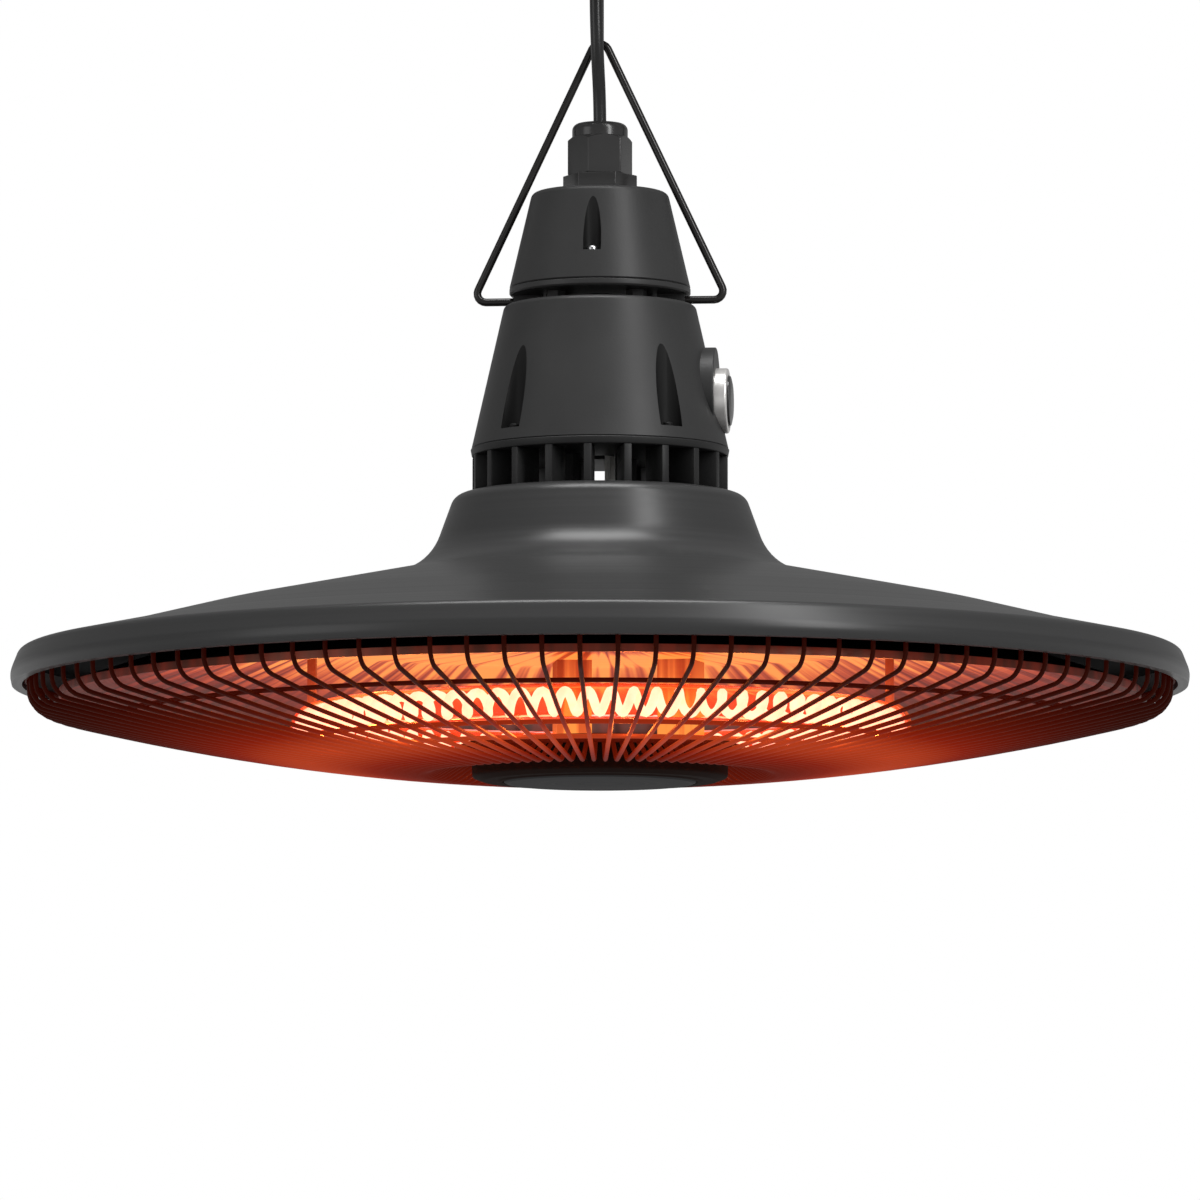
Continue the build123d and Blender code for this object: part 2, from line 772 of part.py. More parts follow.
# Reflector: a polished dish with a short lip
reflector_corners = [
    (0.0, reflector_z),
    (reflector_flat_radius, reflector_z),
    (reflector_radius, neck_z - reflector_wall_drop),
    (reflector_radius, neck_z - reflector_wall_drop - reflector_lip),
]
reflector_inside = mitred(reflector_corners, -reflector_wall)
with BuildPart() as reflector:
    with BuildSketch(Plane.XZ):
        with BuildLine():
            Polyline(*reflector_corners, *reversed(reflector_inside), close=True)
        make_face()
    revolve(axis=Axis.Z)
save(reflector.part, "reflector")
reflector_under_z = reflector_z - reflector_wall

# Thermal cut-out on the back of the reflector
with BuildPart() as thermal_cutout:
    with BuildSketch(Plane.XY.offset(reflector_z)):
        with Locations((0, cutout_place)):
            Circle(cutout_radius)
    extrude(amount=cutout_height)
save(thermal_cutout.part, "thermal_cutout")

# Element: a ring tube open at the back, with the filament in it
element_span = 360 - element_gap
tube_start = Plane.XZ.rotated((0, 0, 90 + element_gap / 2))
with BuildPart() as element_tube:
    with BuildSketch(tube_start):
        with Locations((element_radius, element_z)):
            RegularPolygon(tube_radius, tube_sides)
            RegularPolygon(tube_radius - tube_wall, tube_sides - 2, mode=Mode.SUBTRACT)
    revolve(axis=Axis.Z, revolution_arc=element_span)
save(element_tube.part, "element_tube")

with BuildPart() as filament:
    with BuildSketch(tube_start):
        with Locations((element_radius, element_z)):
            Rectangle(filament_width, filament_height)
    revolve(axis=Axis.Z, revolution_arc=element_span)
save(filament.part, "filament")

# End blocks: ceramic blocks under the reflector that hold the tube's two ends
block_reach = math.degrees((end_block[1] - end_block_overlap) / element_radius)
block_turn = block_reach / 2
with BuildPart() as element_end_blocks:
    for side in (-1, 1):
        turn = 90 + side * (element_gap / 2 - math.degrees((end_block[1] / 2 - end_block_overlap) / element_radius))
        with BuildSketch(Plane.XY.offset(reflector_under_z).rotated((0, 0, turn))):
            with Locations((element_radius, 0)):
                Rectangle(end_block[0], end_block[1])
        extrude(amount=element_z - tube_radius - end_block_below - reflector_under_z)
    with BuildSketch(tube_start):
        with Locations((element_radius, element_z)):
            RegularPolygon(tube_radius + slip, tube_sides)
    revolve(axis=Axis.Z, revolution_arc=element_span, mode=Mode.SUBTRACT)
save(element_end_blocks.part, "element_end_blocks")

# Element clips: spring loops round the tube, hung from the reflector
clip_bore = tube_radius + slip
with BuildPart() as element_clips:
    for angle in clip_angles:
        with BuildSketch(Plane.XZ.rotated((0, 0, angle))):
            with Locations((element_radius, element_z)):
                RegularPolygon(clip_bore + clip_wall, tube_sides)
            with Locations((element_radius, (element_z + reflector_under_z) / 2)):
                Rectangle(3 * clip_wall, reflector_under_z - element_z)
            with Locations((element_radius, element_z)):
                RegularPolygon(clip_bore, tube_sides, mode=Mode.SUBTRACT)
        extrude(amount=clip_width / 2, both=True)
save(element_clips.part, "element_clips")


def bowl_z(radius):
    """Height of the grille's bowl at a radius."""
    return grille_bottom_z + wire_width / 2 + radius**2 / (2 * grille_bowl_radius)


def wire_z(radius):
    """Height of a radial wire's middle line at a radius in its bowl."""
    outer, inner = (wire_line[2], wire_line[3]) if radius > wire_line[3][0] else (wire_line[3], wire_line[4])
    return slide(radius, *inner, *outer)


# Grille: radial wires welded to a top ring and to a flange at the hub
bend_in = grille_radius - grille_bend
middle = (bend_in + grille_neck_radius) / 2
hub_z = bowl_z(grille_neck_radius) + grille_inner_rise
wire_line = [
    (grille_radius, grille_top_z),
    (grille_radius, bowl_z(grille_radius) + grille_bend),
    (bend_in, bowl_z(bend_in)),
    (middle, bowl_z(middle)),
    (grille_neck_radius, bowl_z(grille_neck_radius)),
    (grille_inner_radius, hub_z),
]
with BuildPart() as grille_wire:
    with BuildSketch(Plane.XZ):
        outside = mitred(wire_line, wire_width / 2)
        inside = mitred(wire_line, -wire_width / 2)
        with BuildLine():
            Polyline(*outside, *reversed(inside), close=True)
        make_face()
    extrude(amount=wire_width / 2, both=True)

with BuildPart() as grille:
    with BuildSketch(Plane.XZ):
        with Locations((grille_radius, grille_top_z)):
            Rectangle(grille_ring_width, wire_width)
        with Locations(((flange_inner_radius + flange_outer_radius) / 2, hub_z)):
            Rectangle(flange_outer_radius - flange_inner_radius, flange_thickness)
    revolve(axis=Axis.Z)
    with PolarLocations(0, wire_count):
        add(grille_wire.part)
save(grille.part, "grille")

# Grille rings: three hoops that lie on the radial wires
with BuildPart() as grille_rings:
    with BuildSketch(Plane.XZ):
        for inset in ring_insets:
            radius = grille_radius - inset
            with Locations((radius, wire_z(radius + wire_width / 2) + 1.02 * wire_width)):
                Rectangle(wire_width, wire_width)
    revolve(axis=Axis.Z)
save(grille_rings.part, "grille_rings")

# Hub cup: a pan in the grille's middle, hung by its lip on the flange
hub_top_z = hub_z + flange_thickness / 2
hub_radius = flange_inner_radius - clearance
with BuildPart() as hub_cup:
    with BuildSketch(Plane.XZ):
        Polygon(
            (0, grille_bottom_z + badge_recess),
            (badge_radius + slip, grille_bottom_z + badge_recess),
            (badge_radius + slip, grille_bottom_z),
            (hub_radius - hub_chamfer, grille_bottom_z),
            (hub_radius, grille_bottom_z + hub_chamfer),
            (hub_radius, hub_top_z),
            (hub_lip_radius, hub_top_z),
            (hub_lip_radius, hub_top_z + hub_wall),
            (hub_radius - hub_wall, hub_top_z + hub_wall),
            (hub_radius - hub_wall, grille_bottom_z + badge_recess + hub_wall),
            (0, grille_bottom_z + badge_recess + hub_wall),
            align=None,
        )
    revolve(axis=Axis.Z)
save(hub_cup.part, "hub_cup")

with BuildPart() as hub_badge:
    with BuildSketch(Plane.XY.offset(grille_bottom_z + badge_recess)):
        Circle(badge_radius)
    extrude(amount=-badge_thickness)
save(hub_badge.part, "hub_badge")

# Grille clips: tabs that hold the top ring to the lip of the shade's rim
clip_inner = grille_radius - grille_ring_width / 2
clip_outer = shade_radius - shade_wall - 2 * clearance
with BuildPart() as grille_clips:
    for angle in grille_clip_angles:
        with BuildSketch(Plane.XY.offset(rim_lip_z).rotated((0, 0, angle))):
            with Locations(((clip_inner + clip_outer) / 2, 0)):
                Rectangle(clip_outer - clip_inner, grille_clip_width)
        extrude(amount=grille_clip_height)
save(grille_clips.part, "grille_clips")
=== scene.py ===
import bmesh
import bpy
import json
import math
from mathutils import Matrix, Vector


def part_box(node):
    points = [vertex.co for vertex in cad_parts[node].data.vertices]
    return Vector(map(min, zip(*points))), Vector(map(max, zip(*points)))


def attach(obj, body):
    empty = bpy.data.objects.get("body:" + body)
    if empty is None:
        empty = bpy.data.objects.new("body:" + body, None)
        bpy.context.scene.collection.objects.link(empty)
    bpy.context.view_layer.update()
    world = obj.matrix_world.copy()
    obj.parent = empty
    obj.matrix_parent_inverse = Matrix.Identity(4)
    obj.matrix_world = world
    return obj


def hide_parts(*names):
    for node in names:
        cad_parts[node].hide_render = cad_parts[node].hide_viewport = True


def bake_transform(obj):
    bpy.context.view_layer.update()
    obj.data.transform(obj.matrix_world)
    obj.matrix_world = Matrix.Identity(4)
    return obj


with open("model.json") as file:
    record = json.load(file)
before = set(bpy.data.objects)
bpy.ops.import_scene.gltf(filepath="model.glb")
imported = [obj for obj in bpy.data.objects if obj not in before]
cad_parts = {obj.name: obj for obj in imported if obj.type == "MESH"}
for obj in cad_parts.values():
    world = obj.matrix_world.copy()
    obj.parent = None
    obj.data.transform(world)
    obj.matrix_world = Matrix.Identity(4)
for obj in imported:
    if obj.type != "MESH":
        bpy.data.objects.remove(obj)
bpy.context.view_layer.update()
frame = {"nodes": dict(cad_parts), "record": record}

MM = 0.001
slot_of = {piece["node"]: piece["material_slot"] for piece in frame["record"]["subparts"]}

# Middle line of the ring element, in millimetres
ring_radius = 104.6
element_z = -301.3


def low(node):
    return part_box(node)[0] / MM


def high(node):
    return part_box(node)[1] / MM


def around(count):
    """Angles at even steps round a full turn."""
    return [2 * math.pi * i / count for i in range(count)]


def put(name, data):
    """An object with its data, in the scene."""
    made = bpy.data.objects.new(name, data)
    bpy.context.scene.collection.objects.link(made)
    return made


def look_at(thing, spot, aim):
    """Stands a camera or a lamp on a spot and turns it to a point."""
    thing.location = spot
    thing.rotation_euler = (Vector(aim) - Vector(spot)).to_track_quat("-Z", "Y").to_euler()


# Small tools for shader and geometry trees


def fill(node, **values):
    """Sets or links a node's inputs, an underscore standing for each space in a name."""
    for name, value in values.items():
        socket = node.inputs[name.replace("_", " ")]
        if isinstance(value, bpy.types.NodeSocket):
            node.id_data.links.new(value, socket)
        else:
            socket.default_value = value
    return node


def add(tree, kind, **settings):
    """A node of a kind, with its own settings and its inputs' values and links."""
    node = tree.nodes.new(kind)
    for name, value in settings.items():
        if name in node.bl_rna.properties:
            setattr(node, name, value)
        else:
            fill(node, **{name: value})
    return node


def link(tree, source, target):
    tree.links.new(source, target)


def maths(tree, operation, first, second=None, third=None):
    """A math node on outputs or numbers, as its own output."""
    node = tree.nodes.new("ShaderNodeMath")
    node.operation = operation
    for socket, value in zip(node.inputs, (first, second, third)):
        if isinstance(value, (int, float)):
            socket.default_value = value
        elif value is not None:
            link(tree, value, socket)
    return node.outputs["Value"]


def vector_maths(tree, operation, *vectors, output="Vector"):
    """A vector math node on vectors, as one of its outputs."""
    node = add(tree, "ShaderNodeVectorMath", operation=operation)
    for socket, vector in zip(node.inputs, vectors):
        link(tree, vector, socket)
    return node.outputs[output]


def flat_vector(tree, x, y):
    return add(tree, "ShaderNodeCombineXYZ", X=x, Y=y).outputs["Vector"]


def ranged(tree, value, start, end, from_low=0.3, from_high=0.7):
    """A value run from one range onto another."""
    ramp = add(tree, "ShaderNodeMapRange", Value=value, To_Min=start, To_Max=end)
    return fill(ramp, From_Min=from_low, From_Max=from_high).outputs["Result"]


# Effects that several finishes share

noise_middle = 0.5
noise_gain = 4.0
streak_noise = (0.38, 0.62)


def new_group(name, inputs, outputs):
    """A shader group, the numbers that go in, and its end. An output called Light is a colour."""
    group = bpy.data.node_groups.new(name, "ShaderNodeTree")
    for socket, default in inputs.items():
        made = group.interface.new_socket(socket, in_out="INPUT", socket_type="NodeSocketFloat")
        made.default_value = default
    for socket in outputs:
        kind = "NodeSocketColor" if socket == "Light" else "NodeSocketFloat"
        group.interface.new_socket(socket, in_out="OUTPUT", socket_type=kind)
    return group, group.nodes.new("NodeGroupInput").outputs, group.nodes.new("NodeGroupOutput")


def noise(group, vector, scale, **settings):
    return add(group, "ShaderNodeTexNoise", Vector=vector, Scale=scale, **settings).outputs["Fac"]


def toned(group, given, pattern):
    """A factor that a pattern swings about 1, as far as the group's Contrast says."""
    swing = maths(group, "SUBTRACT", pattern, noise_middle)
    wide = maths(group, "MULTIPLY", given["Contrast"], noise_gain)
    return maths(group, "MULTIPLY_ADD", swing, wide, 1.0)


def round_place(group):
    """A point's height, its flat vector out from the upright axis, and its distance out."""
    place = add(group, "ShaderNodeTexCoord").outputs["Object"]
    apart = add(group, "ShaderNodeSeparateXYZ", Vector=place).outputs
    flat = flat_vector(group, apart["X"], apart["Y"])
    return apart["Z"], flat, vector_maths(group, "LENGTH", flat, output="Value")


def fine_grain_group():
    """The pebbled skin of plastic and powder coat: a height, a change of tone and a patchiness."""
    inputs = {"Size": 600.0, "Blotch Size": 25.0, "Contrast": 0.1}
    group, given, result = new_group("fine grain", inputs, ("Height", "Tone", "Patch"))
    place = add(group, "ShaderNodeTexCoord").outputs["Object"]
    pebble = noise(group, place, given["Size"], Detail=3.0, Roughness=0.55)
    blotch = noise(group, place, given["Blotch Size"], Detail=4.0, Roughness=0.6)
    fill(result, Height=pebble, Tone=toned(group, given, blotch), Patch=blotch)
    return group


def turned_marks_group():
    """Faint rings round the upright axis, as spinning and polishing leave them."""
    inputs = {"Rings": 900.0, "Contrast": 0.1}
    group, given, result = new_group("turned marks", inputs, ("Height", "Tone"))
    height, _, out = round_place(group)
    line = flat_vector(group, out, height)
    streak = noise(group, line, given["Rings"], Detail=3.0, Roughness=0.6)
    fill(result, Height=streak, Tone=toned(group, given, streak))
    return group


# What share of the element's full painted light shows in which colour
painted_light_colours = (
    (0.0, (0.0, 0.0, 0.0)),
    (0.25, (0.22, 0.011, 0.002)),
    (0.5, (0.5, 0.055, 0.014)),
    (0.75, (0.8, 0.15, 0.03)),
    (1.0, (1.0, 0.31, 0.055)),
)


def painted_element_light_group():
    """Painted light: the element's light on a part near it, as an emitted colour, dark red to
    orange the nearer it is.
    """
    inputs = {
        "Ring Radius": ring_radius * MM,
        "Height": element_z * MM,
        "Reach": 0.05,
        "Fall": 1.5,
        "Power": 1.0,
        "Streaks": 0.0,
        "Bands": 30.0,
    }
    group, given, result = new_group("painted element light", inputs, ("Light",))
    height, flat, out = round_place(group)
    beside = maths(group, "SUBTRACT", out, given["Ring Radius"])
    above = maths(group, "SUBTRACT", height, given["Height"])
    gap = vector_maths(group, "LENGTH", flat_vector(group, beside, above), output="Value")
    share = maths(group, "DIVIDE", gap, given["Reach"])
    spread = maths(group, "DIVIDE", 1.0, maths(group, "MULTIPLY_ADD", share, share, 1.0))
    fallen = maths(group, "POWER", spread, given["Fall"])
    near = maths(group, "MULTIPLY", fallen, given["Power"])
    band = noise(group, vector_maths(group, "NORMALIZE", flat), given["Bands"], Detail=2.0)
    swing = ranged(group, band, -1.0, 1.0, *streak_noise)
    streak = maths(group, "MULTIPLY_ADD", swing, given["Streaks"], 1.0)
    colour = add(group, "ShaderNodeValToRGB", Fac=maths(group, "MULTIPLY", near, streak))
    stops = colour.color_ramp.elements
    for _ in painted_light_colours[2:]:
        stops.new(0.5)
    for stop, (position, value) in zip(stops, painted_light_colours):
        stop.position, stop.color = position, (*value, 1.0)
    fill(result, Light=colour.outputs["Color"])
    return group


grain = fine_grain_group()
marks = turned_marks_group()
painted_element_light = painted_element_light_group()


# Finishes

grain_depth = 0.2 * MM
mark_depth = 0.1 * MM


def new_finish(name):
    """A material with its tree and its principled shader."""
    material = bpy.data.materials.new(name)
    material.use_nodes = True
    return material, material.node_tree, material.node_tree.nodes["Principled BSDF"]


def place_group(tree, group, **values):
    """The outputs of a shared effect that has its own values."""
    node = tree.nodes.new("ShaderNodeGroup")
    node.node_tree = group
    return fill(node, **values).outputs


def times(tree, colour, factor):
    """A colour made lighter and darker by a factor."""
    mix = add(tree, "ShaderNodeMix", data_type="RGBA", blend_type="MULTIPLY", Factor=1.0)
    return fill(mix, A=(*colour, 1.0), B=factor).outputs["Result"]


def embossed(tree, height, shader, strength, distance):
    bump = add(tree, "ShaderNodeBump", Strength=strength, Distance=distance, Height=height)
    fill(shader, Normal=bump.outputs["Normal"])


def cover(tree, shader, tone, wear, colour, rough, metallic=0.0, specular=0.5, tint=(1, 1, 1)):
    """One colour all over, lighter and darker by a tone and rougher by a wear."""
    fill(shader, Base_Color=times(tree, colour, tone), Roughness=ranged(tree, wear, *rough))
    fill(shader, Metallic=metallic, Specular_IOR_Level=specular, Specular_Tint=(*tint, 1.0))


def grained_finish(name, colour, rough, size=600.0, strength=0.15, contrast=0.1, **plain):
    """Plastic, rubber, paint or satin metal: one colour with a fine grain."""
    material, tree, shader = new_finish(name)
    skin = place_group(tree, grain, Size=size, Contrast=contrast)
    cover(tree, shader, skin["Tone"], skin["Patch"], colour, rough, **plain)
    embossed(tree, skin["Height"], shader, strength, grain_depth)
    return material


def turned_finish(name, colour, rough, rings=900.0, strength=0.1, contrast=0.1, **plain):
    """Spun or turned metal, bare or painted: one colour with faint rings."""
    material, tree, shader = new_finish(name)
    skin = place_group(tree, marks, Rings=rings, Contrast=contrast)
    cover(tree, shader, skin["Tone"], skin["Height"], colour, rough, **plain)
    embossed(tree, skin["Height"], shader, strength, mark_depth)
    return material


def painted_element_light_finish(name, colour, rough, reach, fall, power, streaks=0.0, **plain):
    """Metal or ceramic near the element, with the element's light on it painted as an emitted glow.
    """
    material, tree, shader = new_finish(name)
    skin = place_group(tree, marks, Rings=700.0)
    near = place_group(tree, painted_element_light, Reach=reach, Fall=fall, Power=power, Streaks=streaks)
    cover(tree, shader, skin["Tone"], skin["Height"], colour, rough, **plain)
    fill(shader, Emission_Color=near["Light"], Emission_Strength=1.0)
    return material


def quartz_finish():
    """Clear tube with the coil's orange light painted on it as an emitted haze."""
    material, tree, shader = new_finish("quartz tube")
    skin = place_group(tree, grain, Size=90.0, Blotch_Size=60.0)
    painted_coil_light = times(tree, (1.0, 0.035, 0.004), skin["Tone"])
    fill(shader, Base_Color=(1.0, 0.84, 0.74, 1.0), Transmission_Weight=1.0, IOR=1.05)
    fill(shader, Roughness=ranged(tree, skin["Patch"], 0.02, 0.08))
    fill(shader, Emission_Color=painted_coil_light, Emission_Strength=0.36)
    return material


def coil_finish():
    """The wound filament, pale orange and nearer to white in patches."""
    material, tree, shader = new_finish("hot coil")
    skin = place_group(tree, grain, Size=300.0, Blotch_Size=150.0)
    patch = ranged(tree, skin["Patch"], 0.0, 1.0)
    heat = add(tree, "ShaderNodeMix", data_type="RGBA", Factor=patch)
    fill(heat, A=(1.0, 0.62, 0.42, 1.0), B=(1.0, 0.76, 0.6, 1.0))
    fill(shader, Base_Color=(0.5, 0.25, 0.1, 1.0), Roughness=0.5)
    fill(shader, Emission_Color=heat.outputs["Result"], Emission_Strength=1.5)
    return material


# Each has its colour, and its roughness from and to. A grained or turned one then has the size and
# strength of its marks, and one with painted element light that light's reach, fall, power and
# streaks.
finish = {
    "charcoal_plastic": grained_finish(
        "charcoal plastic", (0.034, 0.034, 0.0341), (0.4, 0.48), 1100.0, 0.12, specular=0.33
    ),
    "charcoal_paint": turned_finish(
        "charcoal paint", (0.036, 0.036, 0.0362), (0.28, 0.35), 420.0, 0.04, specular=0.4
    ),
    "black_plastic": grained_finish(
        "black plastic", (0.032, 0.0315, 0.0315), (0.2, 0.27), 800.0, 0.05, specular=0.55
    ),
    "black_rubber": grained_finish(
        "black rubber", (0.008, 0.008, 0.008), (0.6, 0.75), specular=0.3
    ),
    "black_cord": grained_finish("cord jacket", (0.014, 0.014, 0.0145), (0.28, 0.32), 900.0, 0.02),
    "black_wire": grained_finish("black wire", (0.013, 0.0115, 0.011), (0.22, 0.26), 900.0, 0.03),
    "white_plastic": grained_finish("white plastic", (0.7, 0.69, 0.65), (0.4, 0.5)),
    "zinc_plate": turned_finish("zinc plate", (0.6, 0.6, 0.61), (0.25, 0.4), 300.0, metallic=1.0),
    "silver_ring": grained_finish(
        "satin silver", (0.92, 0.9, 0.88), (0.3, 0.34), 1500.0, 0.02, contrast=0.03, metallic=0.7
    ),
    "grey_fins": grained_finish(
        "fin plastic", (0.021, 0.021, 0.0212), (0.42, 0.52), 1100.0, specular=0.3
    ),
    # Dark, warm mirror colour: painted dark reflection of the heater's unlit inside; its glow is
    # painted element light.
    "polished_reflector": painted_element_light_finish(
        "polished reflector", (0.1, 0.052, 0.038), (0.3, 0.42), 0.05, 3.0, 4.4, 0.6, metallic=1.0
    ),
    "quartz_glass": quartz_finish(),
    "hot_filament": coil_finish(),
    "ceramic": painted_element_light_finish(
        "ceramic", (0.1, 0.045, 0.03), (0.6, 0.7), 0.04, 1.6, 1.1, 0.35, specular=0.1
    ),
    "spring_steel": painted_element_light_finish(
        "spring steel", (0.15, 0.08, 0.06), (0.4, 0.5), 0.03, 2.0, 0.6, metallic=1.0
    ),
    # The warm specular tints of the bronze wire and paint are painted reflections of the element's
    # light.
    "bronze_wire": painted_element_light_finish(
        "bronze wire",
        (0.012, 0.004, 0.0025),
        (0.42, 0.52),
        reach=0.038,
        fall=1.6,
        power=0.5,
        specular=0.06,
        tint=(1.0, 0.5, 0.4),
    ),
    "bronze_paint": grained_finish(
        "bronze paint", (0.012, 0.006, 0.0045), (0.65, 0.75), specular=0.03, tint=(1.0, 0.65, 0.55)
    ),
    "grey_badge": turned_finish("badge", (0.03, 0.03, 0.031), (0.55, 0.65), 700.0, specular=0.08),
}
# The shade's lining is near black: painted shadow for the dark inside under the rim.
shade_lining = grained_finish("lining in painted shadow", (0.004, 0.004, 0.004), (0.6, 0.7), specular=0.1)
# Darker plastic for the inside of the screw pockets: painted shade.
pocket_painted_shade = grained_finish(
    "pocket painted shade", (0.01, 0.01, 0.01), (0.5, 0.6), 1100.0, specular=0.15
)
# Near-black steel: painted shade on the posts inside the vent, the screws deep in the housing's
# pockets and the reflector's back.
steel_in_painted_shade = turned_finish("steel in painted shade", (0.008, 0.008, 0.008), (0.45, 0.55), specular=0.15)


# Making pieces. Profiles and lines are in millimetres, meshes and the cord in metres.


def dressed(name, mesh, material, corner):
    """A mesh in its place as an object: smooth but for its corners, in one material."""
    mesh.materials.clear()
    mesh.materials.append(material)
    mesh.polygons.foreach_set("use_smooth", [True] * len(mesh.polygons))
    mesh.set_sharp_from_angle(angle=math.radians(corner))
    return put(name, mesh)


def finished(name, mesh, slot, nodes=(), corner=35, material=None, body="heater"):
    """A dressed piece in its slot's finish or another one, riding on its body."""
    piece = dressed(name, mesh, material or finish[slot], corner)
    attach(piece, body)
    if nodes:
        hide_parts(*nodes)
    return piece


def plain_mesh(name, form):
    """A mesh of a form, which is freed."""
    mesh = bpy.data.meshes.new(name)
    form.to_mesh(mesh)
    form.free()
    return mesh


def mesh_of(*forms):
    """One plain mesh of some forms, each with its doubles merged and its faces turned outwards."""
    joined = bmesh.new()
    for form in forms:
        bmesh.ops.remove_doubles(form, verts=form.verts, dist=1e-6)
        bmesh.ops.recalc_face_normals(form, faces=form.faces)
        one = plain_mesh("form", form)
        joined.from_mesh(one)
        bpy.data.meshes.remove(one)
    return plain_mesh("piece", joined)


def form_of(mesh):
    form = bmesh.new()
    form.from_mesh(mesh)
    return form


def evaluated(mesh, prepare):
    """The plain mesh that a mesh becomes with modifiers, which are taken off again."""
    carrier = put("carrier", mesh)
    prepare(carrier)
    bpy.context.view_layer.update()
    depsgraph = bpy.context.evaluated_depsgraph_get()
    result = bpy.data.meshes.new_from_object(carrier.evaluated_get(depsgraph))
    carrier.modifiers.clear()
    bpy.data.objects.remove(carrier)
    return result


def carved(mesh, tools, operation="DIFFERENCE"):
    """A mesh with closed forms cut from it, joined to it or met with it."""
    made = [put("tool", tool) for tool in tools]

    def prepare(carrier):
        for tool in made:
            cut = carrier.modifiers.new("cut", "BOOLEAN")
            cut.operation = operation
            cut.solver = "EXACT"
            cut.object = tool

    result = evaluated(mesh, prepare)
    for tool in made:
        bpy.data.objects.remove(tool)
    return result


def ring_line(inner, outer, bottom, top):
    """The four corners of a flat ring's profile."""
    return [(inner, bottom), (outer, bottom), (outer, top), (inner, top)]


def eased(corners, radii, steps=6):
    """A profile whose corners are rounded, each to its own radius."""
    points = [corners[0]]
    for before, corner, after, radius in zip(corners, corners[1:], corners[2:], radii):
        here = Vector(corner)
        back = (Vector(before) - here).normalized()
        ahead = (Vector(after) - here).normalized()
        if not radius:
            points.append(corner)
            continue
        half = back.angle(ahead) / 2
        centre = here + (back + ahead).normalized() * (radius / math.sin(half))
        first = here + back * (radius / math.tan(half)) - centre
        last = here + ahead * (radius / math.tan(half)) - centre
        for i in range(steps + 1):
            points.append(tuple(centre + first.lerp(last, i / steps).normalized() * radius))
    return points + [corners[-1]]


def stepped(points, longest):
    """A profile with points added along its straight runs, none of them longer than a length."""
    result = []
    for start, end in zip(points, points[1:]):
        count = max(1, math.ceil((Vector(end) - Vector(start)).length / longest))
        result += [tuple(Vector(start).lerp(Vector(end), i / count)) for i in range(count)]
    return result + [points[-1]]


def turned(profile, segments=192):
    """A form spun from a closed profile of (radius, height) about the upright axis."""
    form = bmesh.new()
    rings = []
    for a in around(segments):
        across, along = MM * math.cos(a), MM * math.sin(a)
        rings.append([form.verts.new((r * across, r * along, z * MM)) for r, z in profile])
    for here, there in zip(rings, rings[1:] + rings[:1]):
        for j in range(len(profile)):
            k = (j + 1) % len(profile)
            form.faces.new((here[j], there[j], there[k], here[k]))
    bmesh.ops.remove_doubles(form, verts=form.verts, dist=1e-7)
    return form


def moved(form, *steps):
    for step in steps:
        bmesh.ops.transform(form, matrix=step, verts=form.verts)
    return form


def onto_x(start, z):
    """Lays an upright form down along +X, its foot at a distance and a height."""
    return Matrix.Translation((start * MM, 0, z * MM)) @ Matrix.Rotation(math.pi / 2, 4, "Y")


def smooth_copy(node, body, material=None):
    """A CAD node's own mesh with its triangles joined, so that its round faces shade as round."""
    form = form_of(frame["nodes"][node].data)
    bmesh.ops.remove_doubles(form, verts=form.verts, dist=2e-6)
    name = node + "_form"
    finished(name, plain_mesh(name, form), slot_of[node], (node,), 32, material, body)


# Geometry trees


def new_tree(name, inputs):
    """A geometry tree, its mesh and named inputs going in, and its end, where a mesh comes out."""
    tree = bpy.data.node_groups.new(name, "GeometryNodeTree")
    tree.interface.new_socket("Geometry", in_out="INPUT", socket_type="NodeSocketGeometry")
    for socket, kind in inputs.items():
        tree.interface.new_socket(socket, in_out="INPUT", socket_type="NodeSocket" + kind)
    tree.interface.new_socket("Geometry", in_out="OUTPUT", socket_type="NodeSocketGeometry")
    return tree, tree.nodes.new("NodeGroupInput").outputs, tree.nodes.new("NodeGroupOutput")


def close_tree(tree, given, geometry, result):
    """Ends a tree in Realize Instances and Set Material."""
    real = add(tree, "GeometryNodeRealizeInstances", Geometry=geometry)
    paint = add(tree, "GeometryNodeSetMaterial", Material=given["Finish"])
    fill(paint, Geometry=real.outputs["Geometry"])
    fill(result, Geometry=paint.outputs["Geometry"])
    return tree


def repeat_round(tree, given, piece):
    """Copies of a piece at even steps about the upright axis, as many as the tree's Count says."""
    points = add(tree, "GeometryNodePoints", Count=given["Count"])
    index = add(tree, "GeometryNodeInputIndex")
    share = maths(tree, "DIVIDE", index.outputs["Index"], given["Count"])
    spin = add(tree, "ShaderNodeCombineXYZ", Z=maths(tree, "MULTIPLY", share, 2 * math.pi))
    copies = add(tree, "GeometryNodeInstanceOnPoints", Points=points.outputs["Points"])
    fill(copies, Instance=piece, Rotation=spin.outputs["Vector"])
    return copies.outputs["Instances"]


def round_wire(tree, given, curve):
    """A closed wire along a curve, sized by the tree's Wire Radius and Sides."""
    section = add(tree, "GeometryNodeCurvePrimitiveCircle", Resolution=given["Sides"])
    fill(section, Radius=given["Wire Radius"])
    wire = add(tree, "GeometryNodeCurveToMesh", Fill_Caps=True, Curve=curve)
    return fill(wire, Profile_Curve=section.outputs["Curve"]).outputs["Mesh"]


